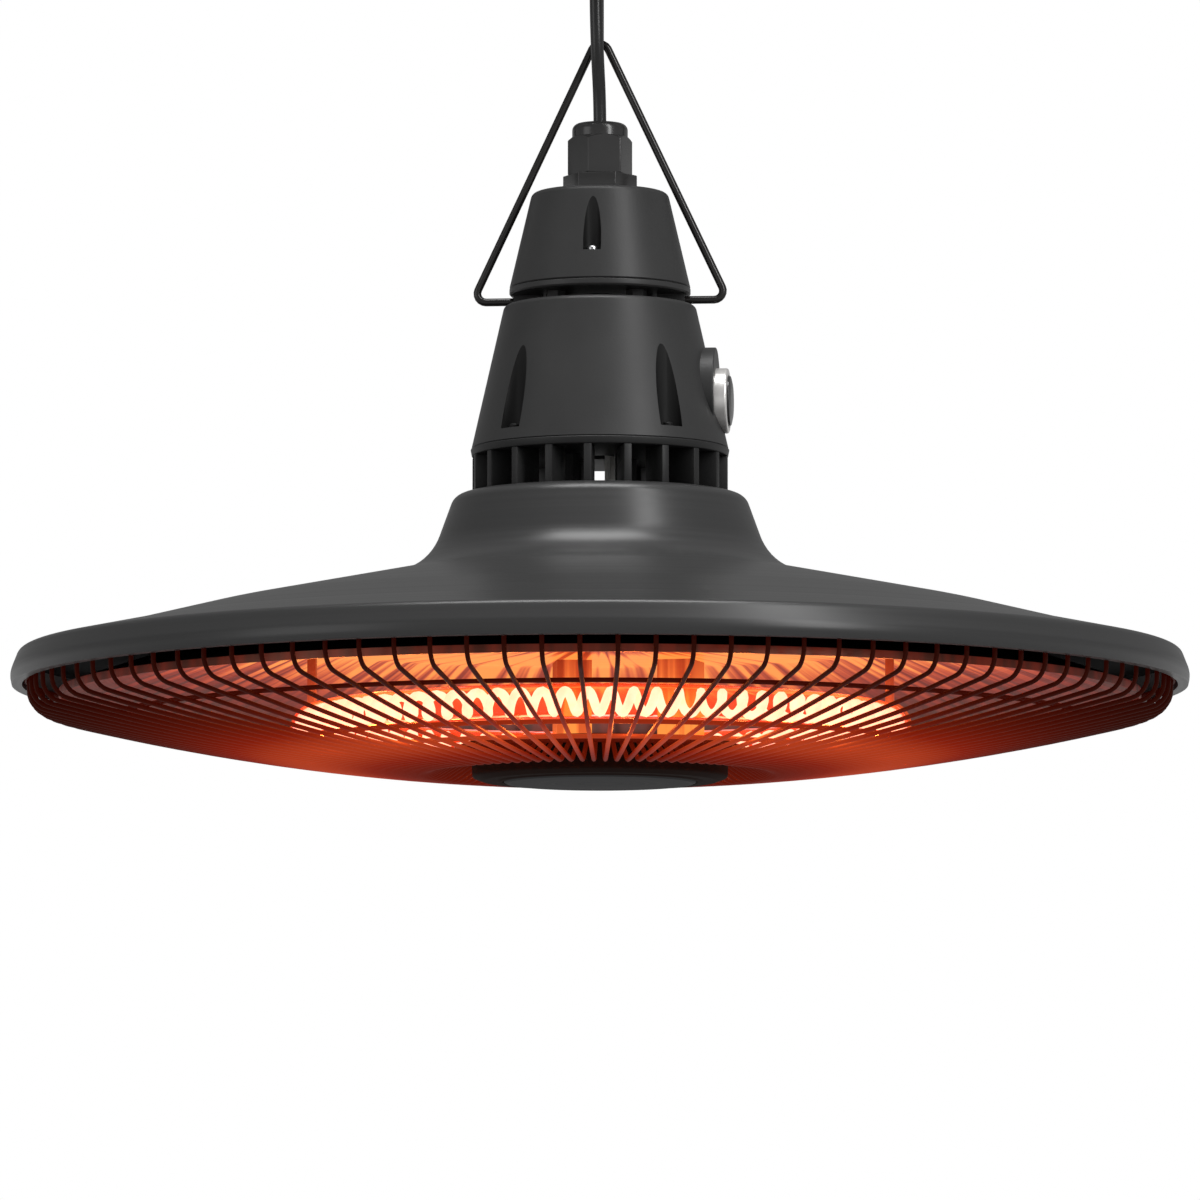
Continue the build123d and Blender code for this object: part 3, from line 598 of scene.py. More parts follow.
def round_wires_tree():
    """Makes a drawn line a round wire with eased bends, repeated about the upright axis."""
    inputs = {"Count": "Int", "Sides": "Int", "Wire Radius": "Float", "Bend Radius": "Float"}
    tree, given, result = new_tree("round wires", inputs | {"Finish": "Material"})
    drawn = add(tree, "GeometryNodeMeshToCurve", Mesh=given["Geometry"])
    bend = add(tree, "GeometryNodeFilletCurve", mode="POLY", Count=6, Limit_Radius=True)
    fill(bend, Curve=drawn.outputs["Curve"], Radius=given["Bend Radius"])
    wire = round_wire(tree, given, bend.outputs["Curve"])
    return close_tree(tree, given, repeat_round(tree, given, wire), result)


def ring_of_tree():
    """Repeats the mesh that goes in at even steps about the upright axis."""
    tree, given, result = new_tree("ring of pieces", {"Count": "Int", "Finish": "Material"})
    return close_tree(tree, given, repeat_round(tree, given, given["Geometry"]), result)


def on_points_tree():
    """Puts a piece on every point of the mesh that goes in."""
    tree, given, result = new_tree("piece on points", {"Piece": "Object", "Finish": "Material"})
    info = add(tree, "GeometryNodeObjectInfo", Object=given["Piece"])
    copies = add(tree, "GeometryNodeInstanceOnPoints", Points=given["Geometry"])
    fill(copies, Instance=info.outputs["Geometry"])
    return close_tree(tree, given, copies.outputs["Instances"], result)


def ring_coil_tree():
    """A coil of round wire that winds along an arc about the upright axis."""
    numbers = ("Ring Radius", "Height", "Start", "Sweep", "Turns", "Coil Radius", "Wire Radius")
    inputs = {name: "Float" for name in numbers}
    inputs |= {"Steps": "Int", "Sides": "Int", "Finish": "Material"}
    tree, given, result = new_tree("ring coil", inputs)
    way = add(tree, "GeometryNodeCurveArc", Resolution=given["Steps"], Radius=given["Ring Radius"])
    fill(way, Start_Angle=given["Start"], Sweep_Angle=given["Sweep"])
    fine = add(tree, "GeometryNodeResampleCurve", Curve=way.outputs["Curve"], Count=given["Steps"])
    along = add(tree, "GeometryNodeSplineParameter").outputs["Factor"]
    here = add(tree, "GeometryNodeInputPosition").outputs["Position"]
    angle = maths(tree, "MULTIPLY", maths(tree, "MULTIPLY", along, given["Turns"]), 2 * math.pi)
    across = maths(tree, "MULTIPLY", maths(tree, "COSINE", angle), given["Coil Radius"])
    sine = maths(tree, "SINE", angle)
    above = maths(tree, "MULTIPLY_ADD", sine, given["Coil Radius"], given["Height"])
    aside = add(tree, "ShaderNodeVectorMath", operation="SCALE", Scale=across)
    link(tree, vector_maths(tree, "NORMALIZE", here), aside.inputs[0])
    up = add(tree, "ShaderNodeCombineXYZ", Z=above)
    shift = vector_maths(tree, "ADD", aside.outputs["Vector"], up.outputs["Vector"])
    wound = add(tree, "GeometryNodeSetPosition", Geometry=fine.outputs["Curve"], Offset=shift)
    wire = round_wire(tree, given, wound.outputs["Geometry"])
    return close_tree(tree, given, wire, result)


def grown(mesh, tree, **values):
    """The plain mesh that a geometry tree makes of a mesh, with its named inputs set."""

    def prepare(carrier):
        modifier = carrier.modifiers.new("tree", "NODES")
        modifier.node_group = tree
        items = tree.interface.items_tree
        sockets = {item.name: item.identifier for item in items if item.in_out == "INPUT"}
        for name, value in values.items():
            modifier[sockets[name.replace("_", " ")]] = value

    return evaluated(mesh, prepare)


def line_mesh(points):
    """A line drawn through points."""
    mesh = bpy.data.meshes.new("line")
    places = [(x * MM, y * MM, z * MM) for x, y, z in points]
    mesh.from_pydata(places, [(i, i + 1) for i in range(len(points) - 1)], [])
    return mesh


round_wires = round_wires_tree()
ring_of = ring_of_tree()
on_points = on_points_tree()
ring_coil = ring_coil_tree()


# Camera

camera_distance = 3.247
camera_azimuth = math.radians(5.5)
camera_height = -0.5684
camera_aim_height = -0.2557
camera_lens = 271.2


def place_camera():
    """The camera at the photograph's viewing angle."""
    data = bpy.data.cameras.new("camera")
    data.lens = camera_lens
    data.sensor_width = 36.0
    data.clip_end = 20.0
    camera = put("camera", data)
    spot = Vector((math.sin(camera_azimuth), -math.cos(camera_azimuth), 0)) * camera_distance
    spot.z = camera_height
    look_at(camera, spot, (0, 0, camera_aim_height))
    bpy.context.scene.camera = camera


# Cord. Its sizes are in metres.

cord_radius = 2.35 * MM
cord_sides = 24
cord_route = [
    (0.0, 0.0, -0.08925),
    (0.0, 0.0, -0.075),
    (-0.0003, -0.007, -0.0575),
    (-0.0008, -0.0077, -0.037),
    (-0.0008, -0.0077, -0.0175),
]


def cord_line():
    """The cord's smooth middle line, as points read from a curve through its route."""
    data = bpy.data.curves.new("cord route", "CURVE")
    data.dimensions = "3D"
    data.resolution_u = 24
    spline = data.splines.new("NURBS")
    spline.points.add(len(cord_route) - 1)
    for point, place in zip(spline.points, cord_route):
        point.co = (*place, 1.0)
    spline.order_u = 3
    spline.use_endpoint_u = True
    carrier = bpy.data.objects.new("cord route", data)
    line = bpy.data.meshes.new_from_object(carrier)
    points = [v.co.copy() for v in line.vertices]
    bpy.data.objects.remove(carrier)
    bpy.data.curves.remove(data)
    bpy.data.meshes.remove(line)
    return points


def tube_along(points, radius, sides):
    """A closed round tube along points."""
    form = bmesh.new()
    rings = []
    for i, here in enumerate(points):
        ahead = (points[min(i + 1, len(points) - 1)] - points[max(i - 1, 0)]).normalized()
        side = ahead.cross(Vector((0, 1, 0))).normalized()
        over = side.cross(ahead)
        ring = [here + radius * (math.cos(a) * side + math.sin(a) * over) for a in around(sides)]
        rings.append([form.verts.new(place) for place in ring])
    for first, second in zip(rings, rings[1:]):
        for k in range(sides):
            form.faces.new((first[k], first[(k + 1) % sides], second[(k + 1) % sides], second[k]))
    form.faces.new(reversed(rings[0]))
    form.faces.new(rings[-1])
    return mesh_of(form)


def make_cord():
    """The supply cord from the ceiling into the gland."""
    points = cord_line()
    mesh = tube_along(points, cord_radius, cord_sides)
    piece = dressed("supply_cord_jacket", mesh, finish["black_cord"], 40)
    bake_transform(piece)
    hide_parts("supply_cord")


# Shade, with its lining in near-black painted shadow, which shows between its rim and the reflector

neck_z = high("shade").z
rim_z = low("shade").z
# Radius and drop of each corner from the bore to the rim, and the fillets of all but the two ends
shade_corners = [(8, 0), (52.45, 0), (62, 26.3), (142.2, 42.3)]
shade_corners += [(179.5, 51.6), (209.3, 57.8), (212.5, 66), (211.7, 69.8)]
shade_fillets = [5.5, 21, 300, 1.5, 3, 8]
middle_fillets = [4.9, 21.5, 300, 1.5, 2.4, 7]
inside_fillets = [4.4, 22, 300, 1.5, 2, 7]
fillet_steps = 10
shade_wall = 1.4
skin_share = 0.55
inward_share = 0.7
shade_radius = 212.5
rim_lip = 4.5
rim_lip_height = 2.65


def shade_line(depth, fillets):
    """The shade's outline at a depth under its skin, from its bore to its shoulder."""
    corners = []
    for i, (radius, drop) in enumerate(shade_corners):
        inward = inward_share * depth if i else 0
        corners.append((radius - inward, neck_z - drop - depth))
    return eased(corners, fillets, fillet_steps)


def make_shade():
    """The spun shade with its rolled rim, and its lining in painted shadow, which ends before the
    last fillet.
    """
    last_fillet = fillet_steps + 2
    outside = shade_line(0, shade_fillets)
    middle = shade_line(skin_share * shade_wall, middle_fillets)[:-last_fillet]
    inside = shade_line(shade_wall, inside_fillets)[:-last_fillet]
    lip, lip_top = shade_radius - rim_lip, rim_z + rim_lip_height
    rim = [(lip, rim_z), (lip, lip_top), (shade_radius - shade_wall, lip_top)]
    skin = mesh_of(turned(outside + rim + middle[::-1], 256))
    finished("shade_skin", skin, "charcoal_paint", ("shade",))
    lining = mesh_of(turned(middle + inside[::-1], 192))
    finished("shade_lining", lining, "charcoal_paint", ("shade",), material=shade_lining)


def make_reflector():
    """The polished dish with its bright lip, and its dark back."""
    top, bottom, edge = high("reflector").z, low("reflector").z, high("reflector").x
    wall, skin, flat, lip = 0.8, 0.3, 130, 2.9
    bend, bend_steps, longest = 12, 8, 12
    lip_seam = bottom + lip - 0.15
    back = eased([(0, top), (flat, top), (edge, bottom + lip)], [bend], bend_steps)
    middle = [(0, top - skin), (flat - 0.1, top - skin), (edge - skin, lip_seam)]
    middle = eased(middle, [bend], bend_steps)
    within, under = edge - wall, top - wall
    face = [(within, bottom), (within, bottom + lip - 0.5), (flat - 0.2, under), (0, under)]
    front = middle + [(edge, lip_seam), (edge, bottom)] + eased(face, [1.0, bend], bend_steps)
    dish = mesh_of(turned(stepped(front, longest), 192))
    finished("reflector_dish", dish, "polished_reflector", ("reflector",))
    plate = mesh_of(turned(stepped(back + middle[::-1], longest), 192))
    finished("reflector_back", plate, "polished_reflector", ("reflector",), material=steel_in_painted_shade)


# Vent collar

fin_count = 20
fin_thickness = 2.8
fin_depth = 12.0
fin_reach = 46.25
fin_edge = 0.3
collar_thickness = 2.7


def rounded_box(start, end, edge):
    """A box between two corners, with softened edges."""
    form = bmesh.new()
    start, end = Vector(start) * MM, Vector(end) * MM
    place = Matrix.Translation((start + end) / 2) @ Matrix.Diagonal((*(end - start), 1.0))
    bmesh.ops.create_cube(form, size=1.0, matrix=place)
    edges = form.edges[:]
    bmesh.ops.bevel(form, geom=edges, offset=edge * MM, segments=2, profile=0.5, affect="EDGES")
    return form


def make_collar():
    """The collar's plate, and fins repeated round it."""
    top, edge = high("vent_posts").z + collar_thickness, high("vent_collar").x
    under, bore, half = top - collar_thickness, 6, fin_thickness / 2
    plate = [(bore, top), (edge, top), (edge - 0.5, under), (bore, under)]
    fin = rounded_box((fin_reach - fin_depth, -half, neck_z), (fin_reach, half, under), fin_edge)
    fins = grown(mesh_of(fin), ring_of, Count=fin_count, Finish=finish["grey_fins"])
    mesh = mesh_of(turned(eased(plate, [0.3, 0.5], 3), 192), form_of(fins))
    finished("vent_collar_fins", mesh, "grey_fins", ("vent_collar",))


# Grille and hub

wire_count = 100
wire_radius = 0.85
wire_sides = 8
wire_bend = 8.0
bowl_radius = 830.0
bowl_steps = 14
grille_radius = 205.5
grille_neck = 63.1
wire_end = 47.8
hoop_radii = (178.0, 124.5, 101.0)
hoop_sides = 10
hub_low = low("hub_cup").z
hub_high = high("hub_cup").z
flange_z = hub_high - 2.1
flange_half = 0.9


def bowl_z(radius):
    """Height of the middle of the wires in the grille's bowl."""
    return hub_low + wire_radius + radius**2 / (2 * bowl_radius)


def hoop(radius, height):
    """A round wire closed to a ring about the upright axis."""
    section = [(wire_radius * math.cos(a), wire_radius * math.sin(a)) for a in around(hoop_sides)]
    return turned([(radius + out, height + up) for out, up in section], 160)


def make_grille():
    """The bent radial wires, the hoops they are welded to, and the flange at the hub."""
    top = high("grille").z - wire_radius
    run = grille_neck - grille_radius
    radii = [grille_radius + run * i / bowl_steps for i in range(bowl_steps + 1)]
    bowl = [(r, 0, bowl_z(r)) for r in radii]
    wires = grown(
        line_mesh([(grille_radius, 0, top)] + bowl + [(wire_end, 0, flange_z)]),
        round_wires,
        Count=wire_count,
        Sides=wire_sides,
        Wire_Radius=wire_radius * MM,
        Bend_Radius=wire_bend * MM,
        Finish=finish["bronze_wire"],
    )
    hoops = [hoop(r, bowl_z(r) + 2 * wire_radius) for r in hoop_radii]
    hoops.append(hoop(grille_radius + 1.2 * wire_radius, top))
    band = ring_line(46.4, 52.6, flange_z - flange_half, flange_z + flange_half)
    flange = turned(eased(band, [0.5, 0.5], 3), 128)
    mesh = mesh_of(form_of(wires), flange, *hoops)
    finished("grille_wires", mesh, "bronze_wire", ("grille", "grille_rings"), 60)


def make_hub():
    """The cup in the grille's middle with a bead round its face, and the bare badge in it."""
    radius, lip, wall, recess = 46.1, 49.2, 1.2, 0.6
    bead = 34.9
    seat = hub_low + recess
    cup = [(0, seat), (bead, seat), (bead + 0.3, hub_low + 0.05), (bead + 1.6, hub_low + 0.05)]
    cup += [(bead + 2.6, hub_low + 0.5), (radius - 4, hub_low + 0.45), (radius, hub_low + 1.9)]
    cup += [(radius, hub_high - wall), (lip, hub_high - wall), (lip, hub_high)]
    cup += [(radius - wall, hub_high), (radius - wall, seat + wall), (0, seat + wall)]
    cup = eased(cup, [0.1, 0.3, 0.3, 0.6, 1.8, 1.2, 0.3, 0.3, 0.5, 1.0, 1.0], 5)
    finished("hub_pan", mesh_of(turned(cup, 160)), "bronze_paint", ("hub_cup",))
    face = low("hub_badge").z
    disc = [(0, face), (33.6, face), (34.6, face + 0.5), (34.6, seat), (0, seat)]
    disc = mesh_of(turned(eased(disc, [0.5, 0.2, 0], 4), 128))
    finished("badge_disc", disc, "grey_badge", ("hub_badge",))


# Element

ring_gap = math.radians(24)
tube_radius = 6.4
tube_bore = 5.6
tube_steps = 144
tube_sides = 24
coil_turns = 75
coil_steps = 14
coil_radius = 3.8
coil_wire = 1.65
coil_margin = 0.06
clip_bore = 6.6
clip_wall = 1.0
clip_width = 5.0
clip_stem = 3.0


def tube_ring():
    """The quartz tube: a round ring with open ends."""
    start, sweep = math.pi / 2 + ring_gap / 2, 2 * math.pi - ring_gap
    form = bmesh.new()

    def place(radius, along, round_it):
        out = ring_radius + radius * math.cos(round_it)
        z = element_z + radius * math.sin(round_it)
        return Vector((out * math.cos(along), out * math.sin(along), z)) * MM

    def skin(radius):
        rows = []
        for i in range(tube_steps + 1):
            along = start + sweep * i / tube_steps
            rows.append([form.verts.new(place(radius, along, s)) for s in around(tube_sides)])
        for first, second in zip(rows, rows[1:]):
            for k in range(tube_sides):
                after = (k + 1) % tube_sides
                form.faces.new((first[k], second[k], second[after], first[after]))
        return rows

    outside, inside = skin(tube_radius), skin(tube_bore)
    for end in (0, -1):
        outer, inner = outside[end], inside[end]
        for k in range(tube_sides):
            after = (k + 1) % tube_sides
            form.faces.new((outer[k], outer[after], inner[after], inner[k]))
    return form


def make_element():
    """The quartz tube, the glowing coil inside it and the spring clips round it."""
    finished("quartz_ring", mesh_of(tube_ring()), "quartz_glass", ("element_tube",))
    coil = grown(
        bpy.data.meshes.new("seed"),
        ring_coil,
        Ring_Radius=ring_radius * MM,
        Height=element_z * MM,
        Start=math.pi / 2 + ring_gap / 2 + coil_margin,
        Sweep=2 * (math.pi - ring_gap / 2 - coil_margin),
        Turns=float(coil_turns),
        Coil_Radius=coil_radius * MM,
        Wire_Radius=coil_wire * MM,
        Steps=coil_turns * coil_steps,
        Sides=8,
        Finish=finish["hot_filament"],
    )
    finished("glowing_coil", coil, "hot_filament", ("filament",), 80)
    half, stem = clip_width / 2, clip_stem / 2
    loop = ring_line(clip_bore, clip_bore + clip_wall, -half, half)
    foot, top = element_z + clip_bore + 0.5, high("element_clips").z
    forms = []
    for side in (-1, 1):
        middle = side * ring_radius
        spot = Matrix.Translation((middle * MM, 0, element_z * MM))
        forms.append(moved(turned(loop, 48), spot @ Matrix.Rotation(math.pi / 2, 4, "X")))
        forms.append(rounded_box((middle - stem, -half, foot), (middle + stem, half, top), 0.3))
    finished("spring_clips", mesh_of(*forms), "spring_steel", ("element_clips",))


# Bail

pivot_z = -147.0
bail_half, bail_end, bail_rise = 46.5, 22.0, 98.3
bail_radius, bail_bend, bail_sides = 1.44, 3.2, 20


def make_bail():
    """The hanging wire, bent to a triangle with its ends turned in to the pivots."""
    bends = [(bail_end, 0), (bail_half, 0), (0, bail_rise), (-bail_half, 0), (-bail_end, 0)]
    wire = grown(
        line_mesh([(x, 0, pivot_z + z) for x, z in bends]),
        round_wires,
        Count=1,
        Sides=bail_sides,
        Wire_Radius=bail_radius * MM,
        Bend_Radius=bail_bend * MM,
        Finish=finish["black_wire"],
    )
    finished("bail_rod", wire, "black_wire", ("bail_wire",), 60, body="hanger")


# Upper cap and lower housing: turned shells with their screw pockets cut in

pocket_tilt = math.radians(1.8)
pocket_inset = 0.25
pocket_height = 60
cap_low, cap_high = low("upper_cap").z, high("upper_cap").z
cap_radii = (32.8, 24.6)
cap_corner = 2.5
cap_bore = 19
cap_pocket = 3.25
cap_floor = cap_low + 10.4
cap_pocket_angles = (-90, 90)
cap_sizes = (cap_radii, cap_low, cap_high, cap_floor, cap_pocket)
housing_low, housing_high = low("lower_housing").z, high("lower_housing").z
housing_radii = (46.5, 34.6)
housing_corner = 2.2
housing_bore = 27
housing_pocket = 4.75
housing_floor = housing_low + 4.5
housing_pocket_angles = (-130, -50, 50, 130)
housing_sizes = (housing_radii, housing_low, housing_high, housing_floor, housing_pocket)
boss_radius, boss_depth = 16.3, 8.0
boss_z = -180.8
switch_z = (low("switch_bezel").z + high("switch_bezel").z) / 2
boss_face = low("switch_bezel").x
bezel_radius = 11.8


def shell(radii, bottom, top, corner, inner):
    """A tapered shell with an eased top edge, in short steps so that cuts in it shade cleanly."""
    bore, under, longest = 8, top - 2.5, 1.6
    side = eased([(radii[0], bottom), (radii[1], top), (bore, top)], [corner], 8)
    foot = [(radii[0] - 0.5, bottom), (radii[0] - 0.1, bottom + 0.45)]
    outside = foot + stepped(side[:2], longest)[1:-1] + side[1:]
    return turned(outside + [(bore, under), (inner, under), (inner, bottom)], 240)


def pocket_middle(radii, bottom, top, floor, radius):
    """How far out the middle of a pocket's floor is."""
    surface = radii[0] + (radii[1] - radii[0]) * (floor - bottom) / (top - bottom)
    return surface - pocket_inset * radius


def pocket(angle, *sizes):
    """A round cutter for a screw pocket, which leans with the shell."""
    floor, radius = sizes[3:]
    form = turned(ring_line(0, radius, 0, pocket_height), 72)
    place = Matrix.Translation((pocket_middle(*sizes) * MM, 0, floor * MM))
    lean = Matrix.Rotation(-pocket_tilt, 4, "Y")
    return mesh_of(moved(form, place @ lean, Matrix.Rotation(math.radians(angle), 4, "Z")))


def paint_shade_in_pockets(mesh, angles, *sizes):
    """Paints shade into the screw pockets: the faces inside them get a darker plastic of their own.
    """
    floor, radius = sizes[3:]
    middle = pocket_middle(*sizes)
    mesh.materials.append(pocket_painted_shade)
    for face in mesh.polygons:
        x, y, z = face.center / MM
        axis = middle - (z - floor) * math.tan(pocket_tilt)
        for angle in angles:
            a = math.radians(angle)
            across = x * math.cos(a) + y * math.sin(a) - axis
            aside = y * math.cos(a) - x * math.sin(a)
            if math.hypot(across, aside) < radius + 0.01 and z > floor - 0.05:
                face.material_index = 1


def round_form(radius, length, edge):
    """A cylinder standing at the origin, its far edge eased."""
    return turned(eased(ring_line(0, radius, 0, length), [0, edge], 5), 128)


def make_cap():
    """The cap, with a screw pocket front and back, and its base plate."""
    body = mesh_of(shell(cap_radii, cap_low, cap_high, cap_corner, cap_bore))
    cuts = [pocket(a, *cap_sizes) for a in cap_pocket_angles]
    piece = finished("cap_shell", carved(body, cuts), "charcoal_plastic", ("upper_cap",), 28)
    paint_shade_in_pockets(piece.data, cap_pocket_angles, *cap_sizes)
    top, bottom, edge = high("cap_base").z, low("cap_base").z, cap_radii[0]
    plate = [(8, top), (edge, top), (edge, bottom + 0.6), (edge - 0.6, bottom), (8, bottom)]
    disc = mesh_of(turned(eased(plate, [0.2, 0.3, 0.3], 4), 192))
    finished("cap_base_disc", disc, "charcoal_plastic", ("cap_base",))


def make_housing():
    """The housing, with the switch's boss on its side and four screw pockets."""
    body = mesh_of(shell(housing_radii, housing_low, housing_high, housing_corner, housing_bore))
    boss = round_form(boss_radius, boss_depth, 0.5)
    boss = mesh_of(moved(boss, onto_x(boss_face - boss_depth, boss_z)))
    recess = mesh_of(moved(round_form(bezel_radius + 0.3, 20, 0.5), onto_x(boss_face, switch_z)))
    cuts = [pocket(a, *housing_sizes) for a in housing_pocket_angles]
    body = carved(carved(body, [boss], "UNION"), [recess] + cuts)
    piece = finished("housing_shell", body, "charcoal_plastic", ("lower_housing",), 28)
    paint_shade_in_pockets(piece.data, housing_pocket_angles, *housing_sizes)


# Pocket screws

head_radius, head_side, head_crown = 1.8, 1.5, 1.7
cross_half, cross_width, cross_floor = 1.1, 0.27, 0.9
cap_screw_circle = 28.1
housing_screw_circle = 42.9


def screw_head():
    """A pan head with a cross recess, standing at the origin."""
    pan = eased([(0, 0), (head_radius, 0), (head_radius, head_side), (0, head_crown)], [0, 0.8], 4)
    arms = ((cross_half, cross_width), (cross_width, cross_half))
    cross = [mesh_of(rounded_box((-a, -b, cross_floor), (a, b, 3), 0.05)) for a, b in arms]
    return carved(mesh_of(turned(pan, 32)), cross)


def make_screws():
    """Screws in the pockets: bright in the cap, and dark in the housing, in painted shade."""
    head = put("screw_head", screw_head())
    cap_set = (cap_pocket_angles, cap_screw_circle, cap_floor)
    housing_set = (housing_pocket_angles, housing_screw_circle, housing_floor)
    sets = (
        ("cap_screws", cap_set, "zinc_plate", None),
        ("housing_screws", housing_set, "black_wire", steel_in_painted_shade),
    )
    for name, (angles, circle, floor), slot, material in sets:
        mesh = bpy.data.meshes.new(name)
        turns = [math.radians(a) for a in angles]
        spots = [(circle * MM * math.cos(a), circle * MM * math.sin(a), floor * MM) for a in turns]
        mesh.from_pydata(spots, [], [])
        screws = grown(mesh, on_points, Piece=head, Finish=finish[slot])
        finished(name, screws, slot, material=material)
    bpy.data.objects.remove(head)


# Gland

nut_low = low("gland_nut").z
nut_top = nut_low + 14.0
gland_top = high("gland_nut").z
gland_foot = low("gland_body").z
nut_across, nut_turn, nut_bevel, nut_edge = 20.6, 14.5, 1.6, 0.4
hexagon_across, hexagon_height, hexagon_edge = 23.4, 5.4, 0.35
dome_radius, dome_bore, dome_fillet = 10.1, 2.6, 2.6


def prism(across, bottom, top, turn, edge):
    """A six-sided prism with softened edges, a flat side to the front, turned by an angle."""
    form = bmesh.new()
    radius = across / math.sqrt(3) * MM
    middle = Matrix.Translation((0, 0, (bottom + top) / 2 * MM))
    bmesh.ops.create_cone(
        form,
        cap_ends=True,
        segments=6,
        radius1=radius,
        radius2=radius,
        depth=(top - bottom) * MM,
        matrix=middle @ Matrix.Rotation(math.radians(turn + 30), 4, "Z"),
    )
    edges = form.edges[:]
    bmesh.ops.bevel(form, geom=edges, offset=edge * MM, segments=3, profile=0.6, affect="EDGES")
    return form


def make_gland():
    """The hexagonal body and the domed nut of the cable gland."""
    foot = nut_low - hexagon_height
    forms = (
        prism(hexagon_across, foot, nut_low - 0.05, 0, hexagon_edge),
        turned(ring_line(8, 11, foot - 1, foot + 0.2), 96),
        turned(ring_line(4.7, 7.9, gland_foot, foot - 0.6), 64),
    )
    finished("gland_hexagon", mesh_of(*forms), "black_plastic", ("gland_body", "gland_seal"))
    corner = nut_across / math.sqrt(3) + 2
    cone = [(0, nut_low - 1), (corner, nut_low - 1), (corner, nut_top - 2 * nut_bevel)]
    cone = mesh_of(turned(cone + [(dome_radius, nut_top), (0, nut_top)], 96))
    nut = mesh_of(prism(nut_across, nut_low, nut_top + 1, nut_turn, nut_edge))
    nut = carved(nut, [cone], "INTERSECT")
    dome = ring_line(dome_bore, dome_radius, nut_top - 0.5, gland_top)
    mesh = mesh_of(form_of(nut), turned(eased(dome, [0, dome_fillet], 8), 96))
    finished("gland_cap", mesh, "black_plastic", ("gland_nut",), 30)


# Switch

bezel_bore = 9.4
button_radius = 9.05
button_flat = 6.3


def make_switch():
    """The silver bezel and the domed button."""
    start, end = low("switch_bezel").x, high("switch_bezel").x
    ring = ring_line(bezel_bore, bezel_radius, 0, end - start) + [(bezel_bore, 0.1)]
    ring = turned(eased(ring, [0, 0.8, 0.5], 5), 128)
    bezel = mesh_of(moved(ring, onto_x(start, switch_z)))
    finished("bezel_ring", bezel, "silver_ring", ("switch_bezel",))
    back, face = low("switch_button").x, high("switch_button").x
    depth = face - back
    cap = [(0, 0), (button_radius, 0), (button_radius, depth - 0.9), (button_flat, depth - 0.25)]
    cap = turned(eased(cap + [(0, depth)], [0, 0.5, 6], 6), 96)
    button = mesh_of(moved(cap, onto_x(back, switch_z)))
    finished("button_cap", button, "black_plastic", ("switch_button",), body="button")


# The rest of the solids keep their own shapes

smooth_nodes = ("canopy_cover", "ceiling_plate", "cord_grip", "hanging_hook", "lead_sleeve")
smooth_nodes += ("thermal_cutout", "switch_body")


def dress_solids():
    """Smooth copies for the turned and moulded solids, and their own finishes for the others."""
    listed = frame["record"]["behaviour"]["bodies"].items()
    bodies = {node: name for name, nodes in listed for node in nodes}
    for node in smooth_nodes:
        smooth_copy(node, bodies[node])
    # The posts inside the vent are dark steel instead of their zinc: painted shade.
    smooth_copy("vent_posts", bodies["vent_posts"], steel_in_painted_shade)
    for node, solid in frame["nodes"].items():
        if not solid.hide_render:
            solid.data.materials.clear()
            solid.data.materials.append(finish[slot_of[node]])


# Room and light, in metres

floor_z = -2.0
floor_radius = 12.0
floor_paleness = 0.4
# The world's strength: on plain surfaces, and as mirrors see it from low down and from high up
plain_light = 0.38
mirror_lights = (0.5, 0.2)
mirror_heights = (0.03, 0.24)
lamp_aim = (0, 0, -0.2)
# Each lamp's spot, its width and height, and its power
lamps = {
    "key": ((1.75, -1.65, 1.2), (0.6, 2.6), 42),
    "fill": ((-2.2, -1.8, 0.2), (1.4, 1.6), 8),
    "top": ((0.0, -0.4, 2.0), (1.6, 0.9), 40),
}
element_lamp_count = 16
element_lamp_power = 0.05
element_lamp_drop = 9.0


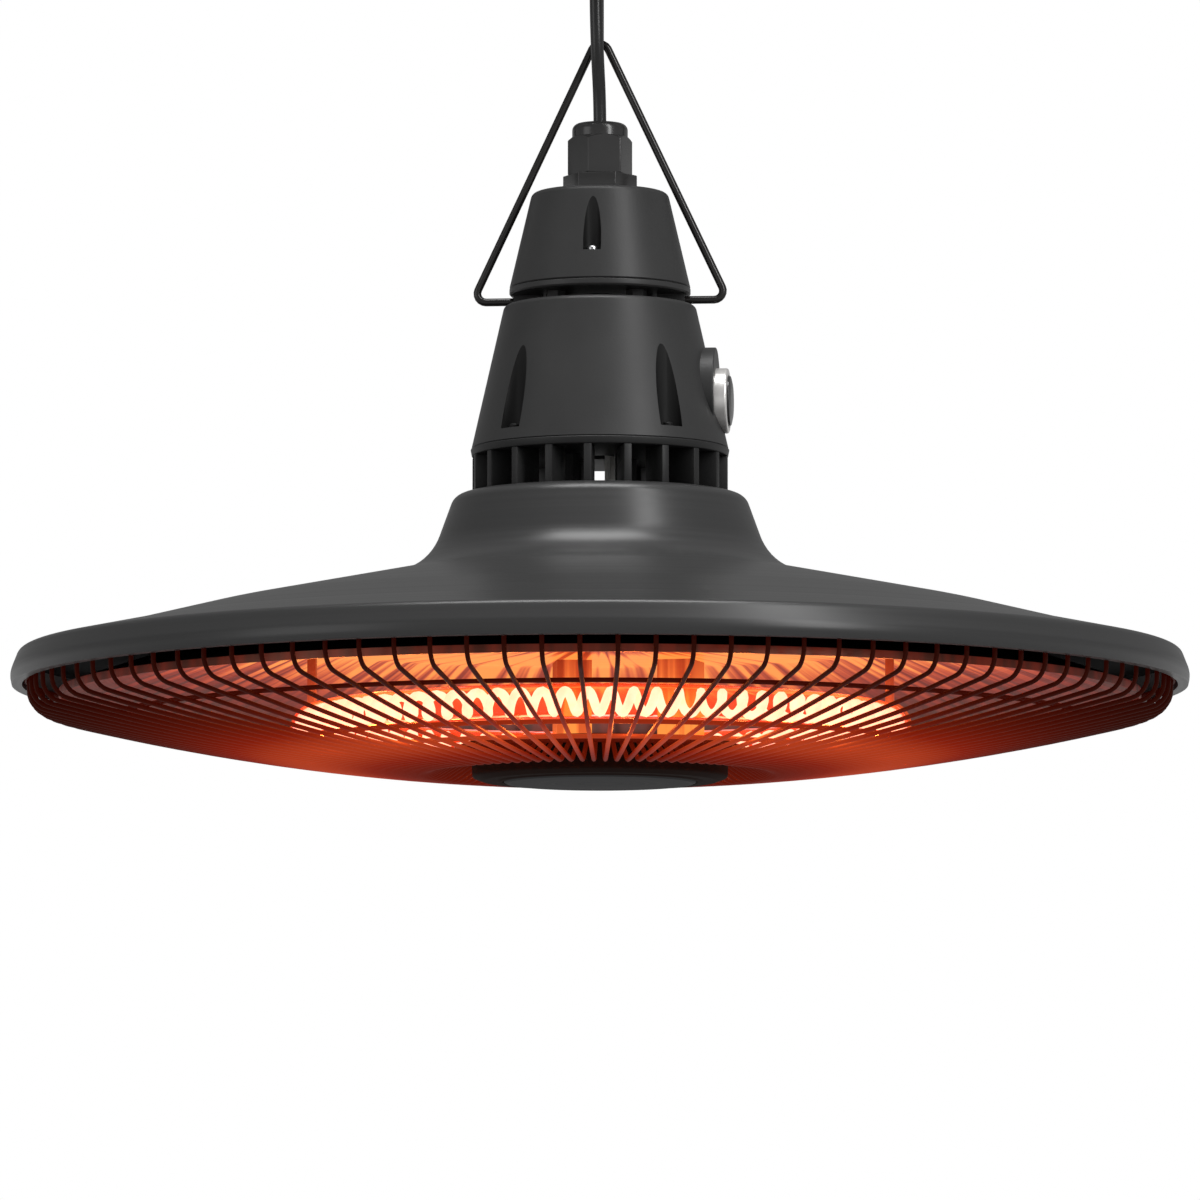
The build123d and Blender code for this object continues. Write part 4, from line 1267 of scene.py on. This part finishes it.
def make_floor():
    """A wide round floor, level at its far edge, and paler to the camera than it is lit."""
    form = bmesh.new()
    place = Matrix.Translation((0, 0, floor_z))
    bmesh.ops.create_circle(form, cap_ends=True, segments=128, radius=floor_radius, matrix=place)
    mesh = plain_mesh("floor", form)
    material, tree, shader = new_finish("pale floor")
    rays = add(tree, "ShaderNodeLightPath").outputs
    pale = maths(tree, "MULTIPLY", rays["Is Camera Ray"], floor_paleness)
    fill(shader, Base_Color=(0.8, 0.8, 0.8, 1.0), Roughness=0.9)
    fill(shader, Emission_Color=(1.0, 1.0, 1.0, 1.0), Emission_Strength=pale)
    mesh.materials.append(material)
    floor = put("floor", mesh)


def light_world():
    """White to the eye and through glass, plain grey as light, and a sweep of greys to mirrors."""
    world = bpy.data.worlds.new("studio")
    world.use_nodes = True
    tree = world.node_tree
    rays = add(tree, "ShaderNodeLightPath").outputs
    place = add(tree, "ShaderNodeTexCoord").outputs["Generated"]
    apart = add(tree, "ShaderNodeSeparateXYZ", Vector=place)
    sweep = ranged(tree, apart.outputs["Z"], *mirror_lights, *mirror_heights)
    more = maths(tree, "SUBTRACT", sweep, plain_light)
    mirrored = maths(tree, "MULTIPLY", rays["Is Glossy Ray"], more)
    seen = maths(tree, "MAXIMUM", rays["Is Camera Ray"], rays["Is Transmission Ray"])
    strength = maths(tree, "MAXIMUM", seen, maths(tree, "ADD", mirrored, plain_light))
    fill(tree.nodes["Background"], Color=(1.0, 1.0, 1.0, 1.0), Strength=strength)
    bpy.context.scene.world = world


def place_lamps():
    """Soft lamps at the front right, at the front left and above."""
    for name, (spot, size, power) in lamps.items():
        data = bpy.data.lights.new(name, "AREA")
        data.shape = "RECTANGLE"
        data.size, data.size_y = size
        data.energy = power
        look_at(put(name, data), spot, lamp_aim)


def place_element_lamps():
    """Small warm lamps just under the tube, which light the wires and the dish as the coil does."""
    for i in range(element_lamp_count):
        a = 2 * math.pi * (i + 0.5) / element_lamp_count
        data = bpy.data.lights.new("element lamp", "POINT")
        data.energy = element_lamp_power
        data.color = (1.0, 0.2, 0.035)
        data.shadow_soft_size = 5 * MM
        data.specular_factor = 0.3
        spot = (ring_radius * math.cos(a), ring_radius * math.sin(a), element_z - element_lamp_drop)
        put("element_lamp", data).location = Vector(spot) * MM


place_camera()
make_cord()
make_shade()
make_reflector()
make_collar()
make_grille()
make_hub()
make_element()
make_bail()
make_cap()
make_housing()
make_screws()
make_gland()
make_switch()
dress_solids()
make_floor()
light_world()
place_lamps()
place_element_lamps()
bpy.context.scene.view_settings.view_transform = "Standard"
